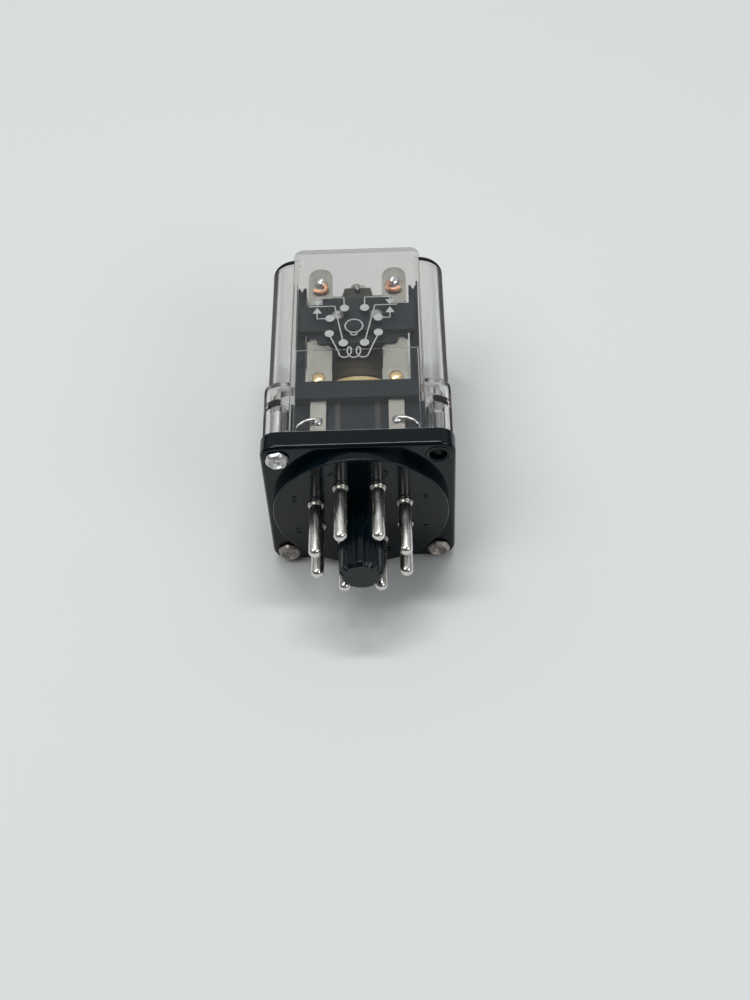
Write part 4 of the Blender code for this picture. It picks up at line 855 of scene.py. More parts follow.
# %% The square flange
FLANGE_HALF, FLANGE_BACK, _ = inside("base")[1]
FLANGE_FRONT = 2.15
FLANGE_CORNER = 3.0
FRONT_ROUND = 0.7
BACK_ROUND = 0.2

base = block(
    "base_moulding", -FLANGE_HALF, FLANGE_HALF, FLANGE_FRONT, FLANGE_BACK, -FLANGE_HALF, FLANGE_HALF
)
round_edges(base, FLANGE_CORNER, 12, runs_along_y)
round_edges(base, FRONT_ROUND, 4, lambda middle, way: near(middle.y, FLANGE_FRONT))
round_edges(base, BACK_ROUND, 2, lambda middle, way: near(middle.y, FLANGE_BACK))
print("flange faces:", len(base.data.polygons))

# %% The disc and the fluted post
DISC_RADIUS = 16.05
DISC_ROUND = 0.3
POST_RADIUS = 3.95
POST_FOOT = 2.8
POST_NOSE = ((0.12, 0.985), (0.53, 0.90), (0.15, 0.965))
FLUTE_EVERY = 30
FLUTE_HALF = 5.5
FLUTE_DEPTH = 0.27
KEY_HALF_WIDTH = 1.1
KEY_HEIGHT = 1.0
KEY_SETBACK = 1.6


def post_outline():
    """The post's section, with ten shallow flutes. The two nearest the key are left out."""
    points = []
    for step in range(144):
        turn_round = 2.5 * step
        from_flute = abs((turn_round % FLUTE_EVERY) - FLUTE_EVERY / 2)
        plain = from_flute > FLUTE_HALF or not FLUTE_EVERY < turn_round < 360 - FLUTE_EVERY
        depth = 0 if plain else FLUTE_DEPTH * math.cos(from_flute / FLUTE_HALF * math.pi / 2)
        angle = math.radians(turn_round - 90)
        points.append(((POST_RADIUS - depth) * math.cos(angle), (POST_RADIUS - depth) * math.sin(angle)))
    return points


def faces_front(middle, normal):
    return normal.y < -0.9


disc_stations = [
    (FLANGE_FRONT + 1.35, DISC_RADIUS), *rounded(DISC_ROUND, DISC_ROUND, 0, -90, 5, DISC_RADIUS - DISC_ROUND),
]
disc = turned("disc", disc_stations, (0, 0, 0), sides=160)
nose_length = sum(step for step, ratio in POST_NOSE)
post = outline("post", post_outline(), "Y", POST_FOOT, nose_length - POST_LENGTH)
edit(post)
for step, ratio in POST_NOSE:
    choose(post, "FACE", faces_front)
    bpy.ops.mesh.extrude_region_move(TRANSFORM_OT_translate={"value": (0, -step * MM, 0)})
    bpy.ops.transform.resize(value=(ratio, 1, ratio), center_override=tuple(ORIGIN))
choose(post, "FACE", faces_front)
bpy.ops.mesh.inset(thickness=0.12 * MM)
bpy.ops.object.mode_set(mode="OBJECT")
key_bottom = -POST_RADIUS - KEY_HEIGHT
key = block("key", -KEY_HALF_WIDTH, KEY_HALF_WIDTH, KEY_SETBACK - POST_LENGTH, POST_FOOT, key_bottom, -3)
round_edges(key, 0.25, 3, lambda middle, way: middle.z < -POST_RADIUS)
fuse(base, disc, post, key)
print("post outline points:", len(post_outline()), "base faces:", len(base.data.polygons))

# %% [markdown]
# ## Holes, wells and numerals
# Each pin stands in a shallow well that its collar fills. Three of the four corner holes hold a
# rivet and the fourth is empty, with a faint raised ring round it. The sockets' numbers, 1 to 8,
# are raised from the disc beside their pins, black on black. Numbers are text objects, which are
# made a mesh before they are turned to face the front.

# %% The corner holes and the pins' places
PIN_COUNT = 8
RIVET_SPACING = 14.2
HOLE_RADIUS = 1.6
pin_places = [middle_of(f"pin_{number}")[::2] for number in range(1, PIN_COUNT + 1)]
corners = [(a * RIVET_SPACING, b * RIVET_SPACING) for a in (-1, 1) for b in (-1, 1)]
ring = [(3.5, 2.3), (2.10, 2.3), (2.03, 2.2), (2.03, 1.95), (2.10, 1.85), (2.2, 1.85)]
fuse(base, turned("ring", ring, (RIVET_SPACING, 0, RIVET_SPACING)))
for x, z in corners:
    carve(base, turned("hole", [(1, HOLE_RADIUS), (7, HOLE_RADIUS)], (x, 0, z)))
flatten(base)
settle(base, BASE_BLACK, RELAY, "base")
print("pins at", [(round(x, 2), round(z, 2)) for x, z in pin_places])

# %% The numbers 1 to 8
NUMERAL_CIRCLE = 12.75


def raised_text(name, body, size, thickness):
    """A text object made a mesh, flat on the table's plane and centred on its origin."""
    bpy.ops.object.select_all(action="DESELECT")
    bpy.ops.object.text_add(location=(0, 0, 0))
    made = bpy.context.object
    made.data.body = body
    made.data.size = size * MM
    made.data.align_x = "CENTER"
    made.data.align_y = "CENTER"
    made.data.extrude = thickness * MM / 2
    made.data.resolution_u = 4
    bpy.ops.object.convert(target="MESH")
    return named(name)


numerals = []
for number, (x, z) in enumerate(pin_places, 1):
    digit = raised_text(f"number_{number}", str(number), 2.3, 0.3)
    reach = NUMERAL_CIRCLE / math.hypot(x, z)
    digit.rotation_euler = (math.pi / 2, 0, 0)
    digit.location = at(x * reach, 0.02, z * reach)
    apply_place(digit)
    numerals.append(digit)
joined(numerals)
disc_numerals = named("disc_numerals")
settle(disc_numerals, BASE_BLACK, RELAY)
print("numerals:", len(disc_numerals.data.polygons), "faces")

# %% [markdown]
# ## The plug pins
# A pin is a drawn brass tube with a nickel plate: a round closed tip, a straight shank and a
# collar of two steps against the disc. It is turned once, on the relay's axis, and copied to the
# eight places. Under the collar the shank is a little thinner, which gives the dark line there.

# %% One pin, copied to its eight places
PIN_RADIUS = 1.18
TIP_ROUND = 0.95
pin_low, pin_high = inside("pin_1")
PIN_LENGTH = -pin_low[1]
TAIL_END = pin_high[1]
pin_stations = [
    *rounded(-PIN_LENGTH + TIP_ROUND, TIP_ROUND, -88, 0, 8, PIN_RADIUS - TIP_ROUND),
    (-1.35, PIN_RADIUS), (-1.2, PIN_RADIUS - 0.04), (-0.72, PIN_RADIUS - 0.05),
    (-0.70, 1.26), (-0.64, 1.30), (-0.48, 1.30), (-0.40, 1.24),
    (-0.38, 1.40), (-0.32, 1.45), (-0.08, 1.45), (0.0, 1.42),
    (1.0, 1.4), (FLANGE_BACK + 0.2, 1.4), (FLANGE_BACK + 0.2, 1.75), (FLANGE_BACK + 0.6, 1.75),
    (FLANGE_BACK + 0.7, 1.6), (FLANGE_BACK + 0.7, 0.8), (TAIL_END - 0.2, 0.8), (TAIL_END, 0.6),
]
first_pin = turned("pin", pin_stations, (0, 0, 0), sides=40)
for number, (x, z) in enumerate(pin_places, 1):
    pin = copy_of(first_pin, f"plug_pin_{number}")
    pin.location = Vector((x, 0, z)) * MM
    apply_place(pin)
    settle(pin, NICKEL, RELAY, f"pin_{number}")
bpy.data.objects.remove(first_pin, do_unlink=True)
print("pins:", PIN_COUNT, "length in front of the disc:", round(PIN_LENGTH, 2), "mm")

# %% [markdown]
# ## The corner rivets
# The cover is held by drive rivets in the flange's corners. Their heads are not quite round: the
# punch left a six-sided flare with a ring and a dimple inside it. The head is turned, and the
# flare's ring is then pushed out at six places.

# %% One rivet, copied to its three corners
RIVET_FACE = FLANGE_FRONT - 0.2
FLARE = 0.035
head_profile = [
    (-0.36, 0.12), (-0.30, 0.42), (-0.42, 0.60), (-0.62, 0.74), (-0.66, 0.92),
    (-0.52, 1.10), (-0.55, 1.25), (-0.86, 1.42), (-0.93, 1.58), (-0.84, 1.80),
    (-0.45, 2.10), (-0.12, 2.18), (0, 2.10), (0, 1.3),
]
rivet_stations = [(RIVET_FACE + rise, radius) for rise, radius in head_profile]
first_rivet = turned("rivet", [*rivet_stations, (11.5, 1.3), (11.9, 0.9)], (0, 0, 0))
for vert in first_rivet.data.vertices:
    across = (vert.co - ORIGIN) / MM
    if across.y < RIVET_FACE + 0.01 and math.hypot(across.x, across.z) > 1.2:
        corner = math.cos(6 * math.atan2(across.z, across.x))
        share = 1 + FLARE * corner - FLARE
        vert.co = at(across.x * share, across.y, across.z * share)
for number, (x, z) in enumerate(((-1, -1), (-1, 1), (1, -1)), 1):
    rivet = copy_of(first_rivet, f"corner_rivet_{number}")
    rivet.location = Vector((x, 0, z)) * RIVET_SPACING * MM
    spin = Matrix.Rotation(0.4 * number, 4, "Y")  # no two stand alike
    rivet.data.transform(Matrix.Translation(ORIGIN) @ spin @ Matrix.Translation(-ORIGIN))
    apply_place(rivet)
    # The two lower rivets take the darker copy of the zinc: painted shade.
    settle(rivet, ZINC if z > 0 else SHADED_ZINC, RELAY, f"cover_rivet_{number}")
bpy.data.objects.remove(first_rivet, do_unlink=True)
print("rivets: 3, in corners", RIVET_SPACING, "mm from the axis")

# %% [markdown]
# ## The clear cover
# The cover is an injection-moulded box with walls of a millimetre: a square skirt, a narrower
# body with large corner radii, and a flat panel that stands proud on the front and on the back.
# The same three blocks are made twice, outside and inside, and the inner ones are cut from the
# outer ones. Every edge of a moulding is round, so each block is bevelled before it is joined.

# %% Outer and inner forms
COVER_FRONT = FLANGE_BACK + 0.2
SKIRT_HALF = 16.95
SKIRT_END = 17.8
SKIRT_CORNER = 3.0
BODY_HALF, BODY_HALF_FAR = 16.75, 16.5
BODY_HEIGHT = 14.5
BODY_CORNER = 4.75
PANEL_HALF, PANEL_HALF_FAR = 12.35, 11.95
PANEL_TOP = FLANGE_HALF - 0.3
PANEL_WALL = 0.85


def taper(obj, x_near, x_far):
    """Draws in the far face, as the draft of a mould does."""
    edit(obj)
    choose(obj, "FACE", lambda middle, normal: normal.y > 0.9)
    bpy.ops.transform.resize(value=(x_far / x_near, 1, 1), center_override=tuple(ORIGIN))
    bpy.ops.object.mode_set(mode="OBJECT")


def cover_form(name, inset, panel_inset):
    """Skirt, body and panel, set in by the wall for the inside."""
    front, end = COVER_FRONT - 4 * inset, COVER_END - inset
    half, skirt_end = SKIRT_HALF - inset, SKIRT_END - inset
    skirt = block(name, -half, half, front, skirt_end, -half, half)
    round_edges(skirt, SKIRT_CORNER - inset, 10, runs_along_y)
    round_edges(skirt, 0.55 - 0.2 * inset, 4, lambda middle, way: near(middle.y, skirt_end))
    half, height = BODY_HALF - inset, BODY_HEIGHT - inset
    body = block("body", -half, half, front + 1, end, -height, height)
    taper(body, BODY_HALF, BODY_HALF_FAR)
    round_edges(body, BODY_CORNER - inset, 14, runs_along_y)
    round_edges(body, 0.6 - 0.2 * inset, 5, lambda middle, way: near(middle.y, end))
    half, height = PANEL_HALF - panel_inset, PANEL_TOP - inset
    panel = block("panel", -half, half, front, end, -height, height)
    taper(panel, PANEL_HALF, PANEL_HALF_FAR)
    round_edges(panel, 1.8 - inset / 2, 8, lambda middle, way: abs(way.z) > 0.9 and middle.y > end - 1)
    round_edges(
        panel, 0.35 - 0.1 * inset, 4,
        lambda middle, way: near(abs(middle.z), height) and middle.y > front + 0.01,
    )
    return fuse(skirt, body, panel)


cover = cover_form("cover_moulding", 0, 0)
room = cover_form("room", WALL, PANEL_WALL)
print("outer form:", len(cover.data.polygons), "faces; inner form:", len(room.data.polygons))

# %% [markdown]
# The panel's wall is a little thinner next to the base, and the step between the two is seen
# as a line across the panel. Corner bosses take the rivets, and the broken-off gate leaves a nub
# on the far end.

# %% The step, the bosses and the gate
STEP_Y = 25.5
STEP_DEPTH = 0.32
STEP_ROUND = 0.15
room_top = PANEL_TOP - WALL
for sign in (-1, 1):
    z0, z1 = sorted((sign * (room_top - STEP_DEPTH), sign * (room_top + 0.5)))
    ledge = block("ledge", -13, 13, STEP_Y, COVER_END + 1, z0, z1)
    round_edges(
        ledge, STEP_ROUND, 4, lambda middle, way: near(middle.y, STEP_Y) and abs(middle.z) < room_top
    )
    carve(room, ledge)
carve(cover, room)
for x, z in corners:
    fuse(cover, turned("boss", [(COVER_FRONT, 2.0), (13.8, 2.0), (14.0, 1.8)], (x, 0, z), sides=32))
for x, z in corners:
    carve(cover, turned("bore", [(0, 1.5), (12.3, 1.5), (12.5, 1.3)], (x, 0, z), sides=32))
nub_stations = [
    (COVER_END - 0.4, 0.95), (COVER_END + 0.1, 0.9), (COVER_END + 0.22, 0.75), (COVER_END + 0.3, 0.35),
]
fuse(cover, turned("nub", nub_stations, (9, 0, 0), sides=24))
flatten(cover, 32)
settle(cover, CLEAR, RELAY, "clear_cover")
print("cover:", len(cover.data.polygons), "faces")

# %% [markdown]
# ## The printed wiring diagram
# The front panel carries a pale printed diagram of the contacts and the coil, with a dot for each
# pin. The lines are thin tubes that are then pressed flat on the panel, and the dots and arrow
# heads are thin plates. The dots' numbers are plain socket numbers.

# %% Lines of the diagram
PRINT_LINE = 0.145
PRESSED_FLAT = 0.07
PRINT_THICKNESS = 0.014
DOT_RADIUS = 0.85


def flat_route(*points):
    return [(x, y, PANEL_TOP) for x, y in points]


def flat_arc(centre, radius, start, end, steps, tall=1.0):
    """Part of a circle, or of one that is drawn out along y, between two angles in degrees."""
    angles = [math.radians(start + (end - start) * step / steps) for step in range(steps + 1)]
    return flat_route(*(
        (centre[0] + radius * math.cos(a), centre[1] + tall * radius * math.sin(a)) for a in angles
    ))


dots = {
    4: (-2.27, 35.29), 5: (1.51, 35.29), 3: (-4.95, 32.80), 6: (4.01, 32.72),
    2: (-5.06, 28.97), 7: (4.02, 28.98), 1: (-2.46, 26.56), 8: (1.46, 26.56),
}
coil_line = flat_route(dots[2], (-4.75, 27.9), (-3.9, 25.8), (-3.25, 24.15))
coil_line += flat_arc((-2.25, 24.10), 1.05, 190, 330, 12)
coil_line += flat_arc((-1.36, 24.60), 0.38, -40, 215, 14, 2.5)
coil_line += flat_arc((-0.51, 24.05), 1.06, 210, 330, 12)
coil_line += flat_arc((0.33, 24.60), 0.38, -35, 220, 14, 2.5)
coil_line += flat_arc((1.20, 24.05), 1.05, 210, 350, 12)
coil_line += flat_route((2.9, 25.8), (3.75, 27.9), dots[7])
lines = tube("printed_diagram", [
    flat_route(dots[4], (-2.39, 38.0), (-7.35, 37.98), (-7.35, 36.9)),
    flat_route((-8.9, 35.87), (-4.11, 35.86), dots[1]),
    flat_route((-7.36, 34.4), (-7.36, 32.72), dots[3]),
    flat_route(dots[5], (1.52, 37.97), (6.22, 37.95), (6.22, 36.9)),
    flat_route((7.61, 35.9), (3.42, 35.88), dots[8]),
    flat_route((6.24, 34.2), (6.24, 32.65), dots[6]),
    flat_arc((-0.51, 30.76), 1.63, 0, 360, 40),
    flat_arc((-0.51, 29.05), 0.62, 180, 360, 14),
    coil_line,
], PRINT_LINE, 1)
edit(lines)
bpy.ops.mesh.select_all(action="SELECT")
bpy.ops.transform.resize(value=(1, 1, PRESSED_FLAT), center_override=tuple(at(0, 0, PANEL_TOP)))
bpy.ops.object.mode_set(mode="OBJECT")
print("diagram lines:", len(lines.data.polygons), "faces")

# %% Dots, arrow heads and the dots' numbers
marks = [lines]
dot_stations = [(0, DOT_RADIUS), (PRINT_THICKNESS, DOT_RADIUS - 0.01)]
for x, y in dots.values():
    marks.append(turned("dot", dot_stations, (x, y, PANEL_TOP), "Z"))
for x, tip, foot in ((-7.35, 36.0, 37.25), (-7.36, 35.55, 34.1), (6.22, 35.98, 37.2), (6.24, 35.4, 33.9)):
    head = [(x, tip), (x - DOT_RADIUS, foot), (x + DOT_RADIUS, foot)]
    marks.append(outline("head", head, "Z", PANEL_TOP, PANEL_TOP + PRINT_THICKNESS))
settle(joined(marks), INK, RELAY)

dot_numbers = []
for number, (x, y) in dots.items():
    digit = raised_text("dot_numbers", str(number), 1.25, 0.010)
    digit.location = at(x, y, PANEL_TOP + PRINT_THICKNESS + 0.002)
    apply_place(digit)
    dot_numbers.append(digit)
settle(joined(dot_numbers), INK_SHADE, RELAY)
print("dots:", len(dots))

# %% [markdown]
# ## Stamped and moulded pieces that keep their CAD shape
# The contact block, the card, the frame, the armature and the flat springs have the right shape
# in the CAD model. What they lack is the small round on every edge that catches the light. Their
# triangles are welded by a modifier, then a bevel rounds the sharp edges, and weighted normals
# keep the large faces flat. The CAD mesh itself isn't touched.

# %% Rounds and finishes for CAD pieces
def dress(node, finish, width):
    """Live modifiers and a finish for a CAD piece, whose edges are rounded by a width in millimetres."""
    solid = bpy.data.objects[node]
    solid.data.polygons.foreach_set("use_smooth", [True] * len(solid.data.polygons))
    weld = solid.modifiers.new("Weld", "WELD")
    weld.merge_threshold = 0.002 * MM
    bevel = solid.modifiers.new("Bevel", "BEVEL")
    bevel.width = width * MM
    bevel.segments = 2
    bevel.limit_method = "ANGLE"
    bevel.angle_limit = math.radians(35)
    bevel.use_clamp_overlap = True
    normals = solid.modifiers.new("Normals", "WEIGHTED_NORMAL")
    normals.weight = 60
    paint(solid, finish)


dressed = (
    ("contact_block", BLOCK_BLACK, 0.14),
    ("insulating_card", CARD_BLACK, 0.12),
    ("frame", STEEL, 0.16),
    ("armature", OXIDE, 0.16),
    ("shading_ring", COPPER, 0.10),
    ("core_nut", BRASS, 0.16),
    ("moving_blade_left", BLADE, 0.05),
    ("moving_blade_right", BLADE, 0.05),
    ("nc_terminal_left", BLADE, 0.07),
    ("nc_terminal_right", BLADE, 0.07),
    ("no_terminal_left", BLADE, 0.07),
    ("no_terminal_right", BLADE, 0.07),
)
for node, finish, width in dressed:
    dress(node, finish, width)
print("dressed CAD pieces:", len(dressed))

# %% [markdown]
# ## Contact buttons
# A contact is a small gold-plated rivet. Its face is a shallow dome, and the head on the other
# side of the leaf is nearly flat. The height of the dome differs from leaf to leaf, so each button
# is turned on its own, from its CAD node's box and its leaf's.

# %% Six contact buttons
CONTACT_RADIUS = 1.25
CONTACT_SHANK = 0.5


def button(name, node, body, leaf):
    """A turned contact in the place of a CAD one, through its leaf."""
    start, end = inside(node)
    leaf_start, leaf_end = inside(leaf)
    x, y, _ = middle_of(node)
    rear, front = leaf_start[2], leaf_end[2]
    dome = end[2] - front
    made = turned(name, [
        (start[2], 0.35), (start[2] + 0.03, 0.8), (start[2] + 0.12, 1.15), (rear - 0.08, CONTACT_RADIUS),
        (rear - 0.02, CONTACT_RADIUS), (rear - 0.02, CONTACT_SHANK), (front + 0.02, CONTACT_SHANK),
        (front + 0.02, CONTACT_RADIUS), (front + 0.25 * dome, CONTACT_RADIUS - 0.02),
        (front + 0.52 * dome, 1.1), (front + 0.78 * dome, 0.82), (front + 0.93 * dome, 0.48),
        (end[2], 0.16), (end[2], 0.02),
    ], (x, y, 0), "Z", 40)
    smooth(made, 50)
    settle(made, GOLD, body, node)


for side in ("left", "right"):
    button(f"upper_button_{side}", f"moving_contact_{side}", ARMATURE, f"moving_blade_{side}")
    button(f"closed_button_{side}", f"nc_contact_{side}", RELAY, f"nc_terminal_{side}")
    button(f"open_button_{side}", f"no_contact_{side}", RELAY, f"no_terminal_{side}")
print("contact buttons: 6, radius", CONTACT_RADIUS, "mm")

# %% [markdown]
# ## Solder
# The braids and the wires end in solder. A joint is a shiny drop that is pulled out of round by
# the wire in it. It starts as a turned dome, its points are pushed in and out by a slow wave, and
# a subdivision makes it liquid again.

# %% Four drops of solder
def drop(name, x, y, z, radius, height, body, pull=(0, 0)):
    """A wavy dome on a plate, pulled a little to one side."""
    made = turned(name, [
        (-0.05, 0.55 * radius), (-0.05, 0.99 * radius), (0.06, radius), (0.30 * height, 0.94 * radius),
        (0.62 * height, 0.74 * radius), (0.86 * height, 0.45 * radius), (height, 0.14 * radius),
    ], (x, y, z), "Z", 24)
    centre = at(x, y, z)
    for vert in made.data.vertices:
        away = (vert.co - centre) / MM
        lift = max(away.z / height, 0)
        lobes = 0.07 * math.sin(3 * math.atan2(away.y, away.x) + x)
        wave = 1 + lobes + 0.04 * math.sin(7 * away.x + y)
        vert.co = centre + Vector((
            away.x * wave + pull[0] * lift, away.y * wave + pull[1] * lift, away.z,
        )) * MM
    apply_modifier(made, "SUBSURF", levels=1, render_levels=1)
    smooth(made, 80)
    settle(made, SOLDER, body)


blade_start, blade_end = inside("moving_blade_right")
terminal_start, terminal_end = inside("nc_terminal_right")
CONTACT_X = middle_of("moving_blade_right")[0]
EYE_Y = 9.8
TAB_Y = 45.15
for side, sign in SIDES:
    x = sign * CONTACT_X
    drop(f"tab_solder_{side}", x, TAB_Y, blade_end[2], 1.4, 1.3, ARMATURE, (-0.2 * sign, 0.1))
    drop(f"eye_solder_{side}", x, EYE_Y, terminal_end[2], 0.95, 0.75, RELAY, (0.25 * sign, 0))
print("solder drops at x =", round(CONTACT_X, 2), "mm")

# %% [markdown]
# ## The stiff wires
# Bare tinned wires join the fixed terminals to the front pins. Each runs from a pin's tail, round
# the moulding, and ends in a hook through the terminal's eye. The route's points are those of the
# CAD wire, and more points on each stretch make the bends round.

# %% Wires to the normally closed and normally open terminals
WIRE_RADIUS = 0.35
PIN_RISE = TAIL_END + 0.3
inner_pin = (abs(pin_places[4][0]), abs(pin_places[4][1]))
outer_pin = (abs(pin_places[5][0]), abs(pin_places[5][1]))
NC_BACK = terminal_start[2]
NO_BACK = inside("no_terminal_right")[0][2]
NO_END = inside("no_terminal_right")[0][1]
NOTCH_X = inside("nc_wire_right")[1][0] - WIRE_RADIUS
RISER_BACK = 11.6
closed_route = [
    (inner_pin[0], PIN_RISE, inner_pin[1]),
    (inner_pin[0], PIN_RISE + 0.8, inner_pin[1]),
    (CONTACT_X - 0.875, EYE_Y, RISER_BACK - 2.1),
    (NOTCH_X - 1.225, 8.65, RISER_BACK - 1.05),
    (NOTCH_X, 8.3, RISER_BACK + 0.8),
    (NOTCH_X - 0.35, 8.825, NC_BACK + 0.455),
    (CONTACT_X + 1.925, EYE_Y - 0.2, NC_BACK + 1.05),
    (CONTACT_X + 0.175, EYE_Y, NC_BACK + 1.05),
]
open_route = [
    (outer_pin[0], PIN_RISE, outer_pin[1]),
    (outer_pin[0], PIN_RISE + 0.8, outer_pin[1]),
    (CONTACT_X + 0.35, NO_END - 1.05, NO_BACK - 3.5),
    (CONTACT_X, NO_END - 1.05, NO_BACK - 0.7),
    (CONTACT_X, NO_END - 0.4, NO_BACK + 0.2),
]
for kind, route, node in (("closed", closed_route, "nc_wire"), ("open", open_route, "no_wire")):
    for side, points in both_sides(route, 8):
        wire = tube(f"{kind}_wire_{side}", [points], WIRE_RADIUS, 4)
        settle(wire, TINNED, RELAY, f"{node}_{side}")
print("terminal wires: 4, radius", WIRE_RADIUS, "mm")

# %% [markdown]
# ## Coil leads
# The coil's two leads come from pins 2 and 7, in varnished sleeves. They rise through the windows
# beside the magnet and end on the winding, under its last turn of tape.

# %% Two sleeved leads
WINDOW_X = 8.3
BAR_BOTTOM = 14.65
DECK_MIDDLE = 17.7
winding_low, winding_high = inside("coil_winding")
bobbin_low, bobbin_high = inside("bobbin")
lead_angle = math.radians(-30.5)
lead_x, lead_z = math.cos(lead_angle), math.sin(lead_angle)
lead_far = bobbin_high[0] + 1.5
lead_near = winding_high[0] + WIRE_RADIUS + 0.3
lead_top = winding_low[1] + 1.4
lead_route = [
    (outer_pin[0], PIN_RISE, -outer_pin[1]),
    (outer_pin[0], PIN_RISE + 0.8, -outer_pin[1]),
    (WINDOW_X, BAR_BOTTOM - 1.5, -outer_pin[1] - 0.7),
    (WINDOW_X, DECK_MIDDLE, -4.9),
    (lead_far * lead_x, bobbin_low[1] - 0.5, lead_far * lead_z),
    (lead_far * lead_x, lead_top, lead_far * lead_z),
    (lead_near * lead_x, lead_top + 1.5, lead_near * lead_z),
]
for side, points in both_sides(lead_route, 8):
    lead = tube(f"sleeved_lead_{side}", [points], WIRE_RADIUS, 4)
    settle(lead, SLEEVE, RELAY, f"coil_lead_{side}")
print("coil leads end at y =", round(lead_top + 1.5, 2))

# %% [markdown]
# ## Flexible braids
# A moving blade gets its current through a soft braid of fine copper wire, which has to bend each
# time that the armature moves. Six strands wind round the braid's middle line, each on its own
# helix. The line runs up behind the blade, comes through the eye of its tab and curls under the
# solder. The braid is not put on either body: its mesh stays fixed where it is made.

# %% A helix of strands round a route
def twisted(route, strands, offset, pitch, steps_per_turn):
    """Routes of strands that wind round a route, all with the same pitch, in millimetres."""
    lengths = [0.0]
    for start, end in zip(route, route[1:]):
        lengths.append(lengths[-1] + (end - start).length)
    count = int(lengths[-1] / pitch * steps_per_turn)
    routes = [[] for _ in range(strands)]
    side = Vector((1, 0, 0))
    place = 0
    for step in range(count + 1):
        along = lengths[-1] * step / count
        while place < len(route) - 2 and lengths[place + 1] < along:
            place += 1
        share = (along - lengths[place]) / (lengths[place + 1] - lengths[place])
        middle = route[place].lerp(route[place + 1], share)
        tangent = (route[place + 1] - route[place]).normalized()
        side = (side - tangent * side.dot(tangent)).normalized()
        across = tangent.cross(side)
        for strand, points in enumerate(routes):
            angle = math.tau * (along / pitch + strand / strands)
            points.append(middle + offset * (math.cos(angle) * side + math.sin(angle) * across))
    return routes


BRAID_RADIUS = 0.45
BRAID_PITCH = 3.2
STRANDS = 6
STRAND_RADIUS = 0.165
STRAND_OFFSET = BRAID_RADIUS - STRAND_RADIUS
blade_back, blade_front = blade_start[2], blade_end[2]
LEG_END = 33.5
FRAME_TOP = 41.0
braid_route = [
    (inner_pin[0], PIN_RISE, -inner_pin[1]),
    (inner_pin[0], PIN_RISE + 0.8, -inner_pin[1]),
    (CONTACT_X - 2.25, PIN_RISE + 2.3, -inner_pin[1] + 2.475),
    (CONTACT_X, BAR_BOTTOM - 1.5, BRAID_RADIUS),
    (WINDOW_X, DECK_MIDDLE, blade_back - 7.2),
    (WINDOW_X, 26.85, blade_back - 4.05),
    (CONTACT_X + 1.125, LEG_END, blade_back - 2.25),
    (CONTACT_X + 0.765, FRAME_TOP, blade_back - 1.8),
    (CONTACT_X - 0.2, FRAME_TOP + 2.4, blade_back - 1.15),
    (CONTACT_X - 0.4, TAB_Y - 0.55, blade_back - 0.7),
    (CONTACT_X - 0.55, TAB_Y - 0.3, blade_front + 0.2),
    (CONTACT_X - 0.95, TAB_Y - 1.0, blade_front + 0.62),
    (CONTACT_X - 1.2, FRAME_TOP + 2.1, blade_front + 0.55),
    (CONTACT_X - 0.6, FRAME_TOP + 1.45, blade_front + 0.5),
    (CONTACT_X + 0.5, FRAME_TOP + 1.5, blade_front + 0.5),
    (CONTACT_X + 1.2, FRAME_TOP + 2.0, blade_front + 0.5),
]
for side, middle_line in both_sides(braid_route, 10):
    strands = twisted(middle_line, STRANDS, STRAND_OFFSET, BRAID_PITCH, 14)
    braid = tube(f"copper_braid_{side}", strands, STRAND_RADIUS, 1)
    paint(braid, COPPER)
    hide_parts(f"pigtail_{side}")
    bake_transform(braid)
print("braid strands:", STRANDS, "faces each braid:", len(braid.data.polygons))

# %% [markdown]
# ## The return spring
# A fine tension spring pulls the armature off the pole. It is hooked between a tab of the frame
# and a tongue of the armature. Its turns are one helix along z, with a hook at each end that
# passes through a hole. It is not put on either body, though one hook moves and the other doesn't.

# %% The spring's wire
SPRING_TURNS = 34
TURN_STEPS = 16
SPRING_COIL = 1.325
SPRING_WIRE = 0.175
SPRING_HALF = 9.5
HOOK_REACH = 0.55
spring_y = FRAME_TOP + 5.95
hole_y = FRAME_TOP + 3.0
hook_back = inside("frame")[0][2] - HOOK_REACH
hook_front = inside("armature")[1][2] + HOOK_REACH
turns_route = []
for step in range(SPRING_TURNS * TURN_STEPS + 1):
    angle = math.tau * step / TURN_STEPS - math.pi / 2
    turns_route.append((
        SPRING_COIL * math.cos(angle),
        spring_y + SPRING_COIL * math.sin(angle),
        -SPRING_HALF + 2 * SPRING_HALF * step / (SPRING_TURNS * TURN_STEPS),
    ))
back_hook = smooth_route([
    (0, hole_y + 0.9, hook_back), (0, hole_y + 0.3, hook_back), (0, hole_y, hook_back + 0.4),
    (0, hole_y, -SPRING_HALF - 1.1), turns_route[0],
], 5)
front_hook = smooth_route([
    turns_route[-1], (0, hole_y, SPRING_HALF + 1.1),
    (0, hole_y, hook_front - 0.4), (0, hole_y + 0.3, hook_front), (0, hole_y + 0.9, hook_front),
], 5)
spring = tube("return_spring_wire", [[*back_hook[:-1], *turns_route, *front_hook[1:]]], SPRING_WIRE, 2)
paint(spring, SPRING)
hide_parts("return_spring")
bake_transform(spring)
print("spring:", SPRING_TURNS, "turns,", len(spring.data.polygons), "faces")

# %% [markdown]
# ## The coil and the core
# The bobbin is moulded nylon, and the winding on it is wrapped in tape whose edges show as
# slight steps. The core's pole has a slot for the copper ring. All of them are turned, and their
# bores and slots are cut.

# %% The bobbin
BOBBIN_FLANGE = 1.3
EDGE_ROUND = 0.15
BARREL_RADIUS = 4.6
BOBBIN_BORE = 3.8


def bored(obj, radius, low, high):
    """A hole along the magnet's axis, right through a piece."""
    carve(obj, turned("bore", [(low - 1, radius), (high + 1, radius)], (0, 0, 0)))
    flatten(obj)


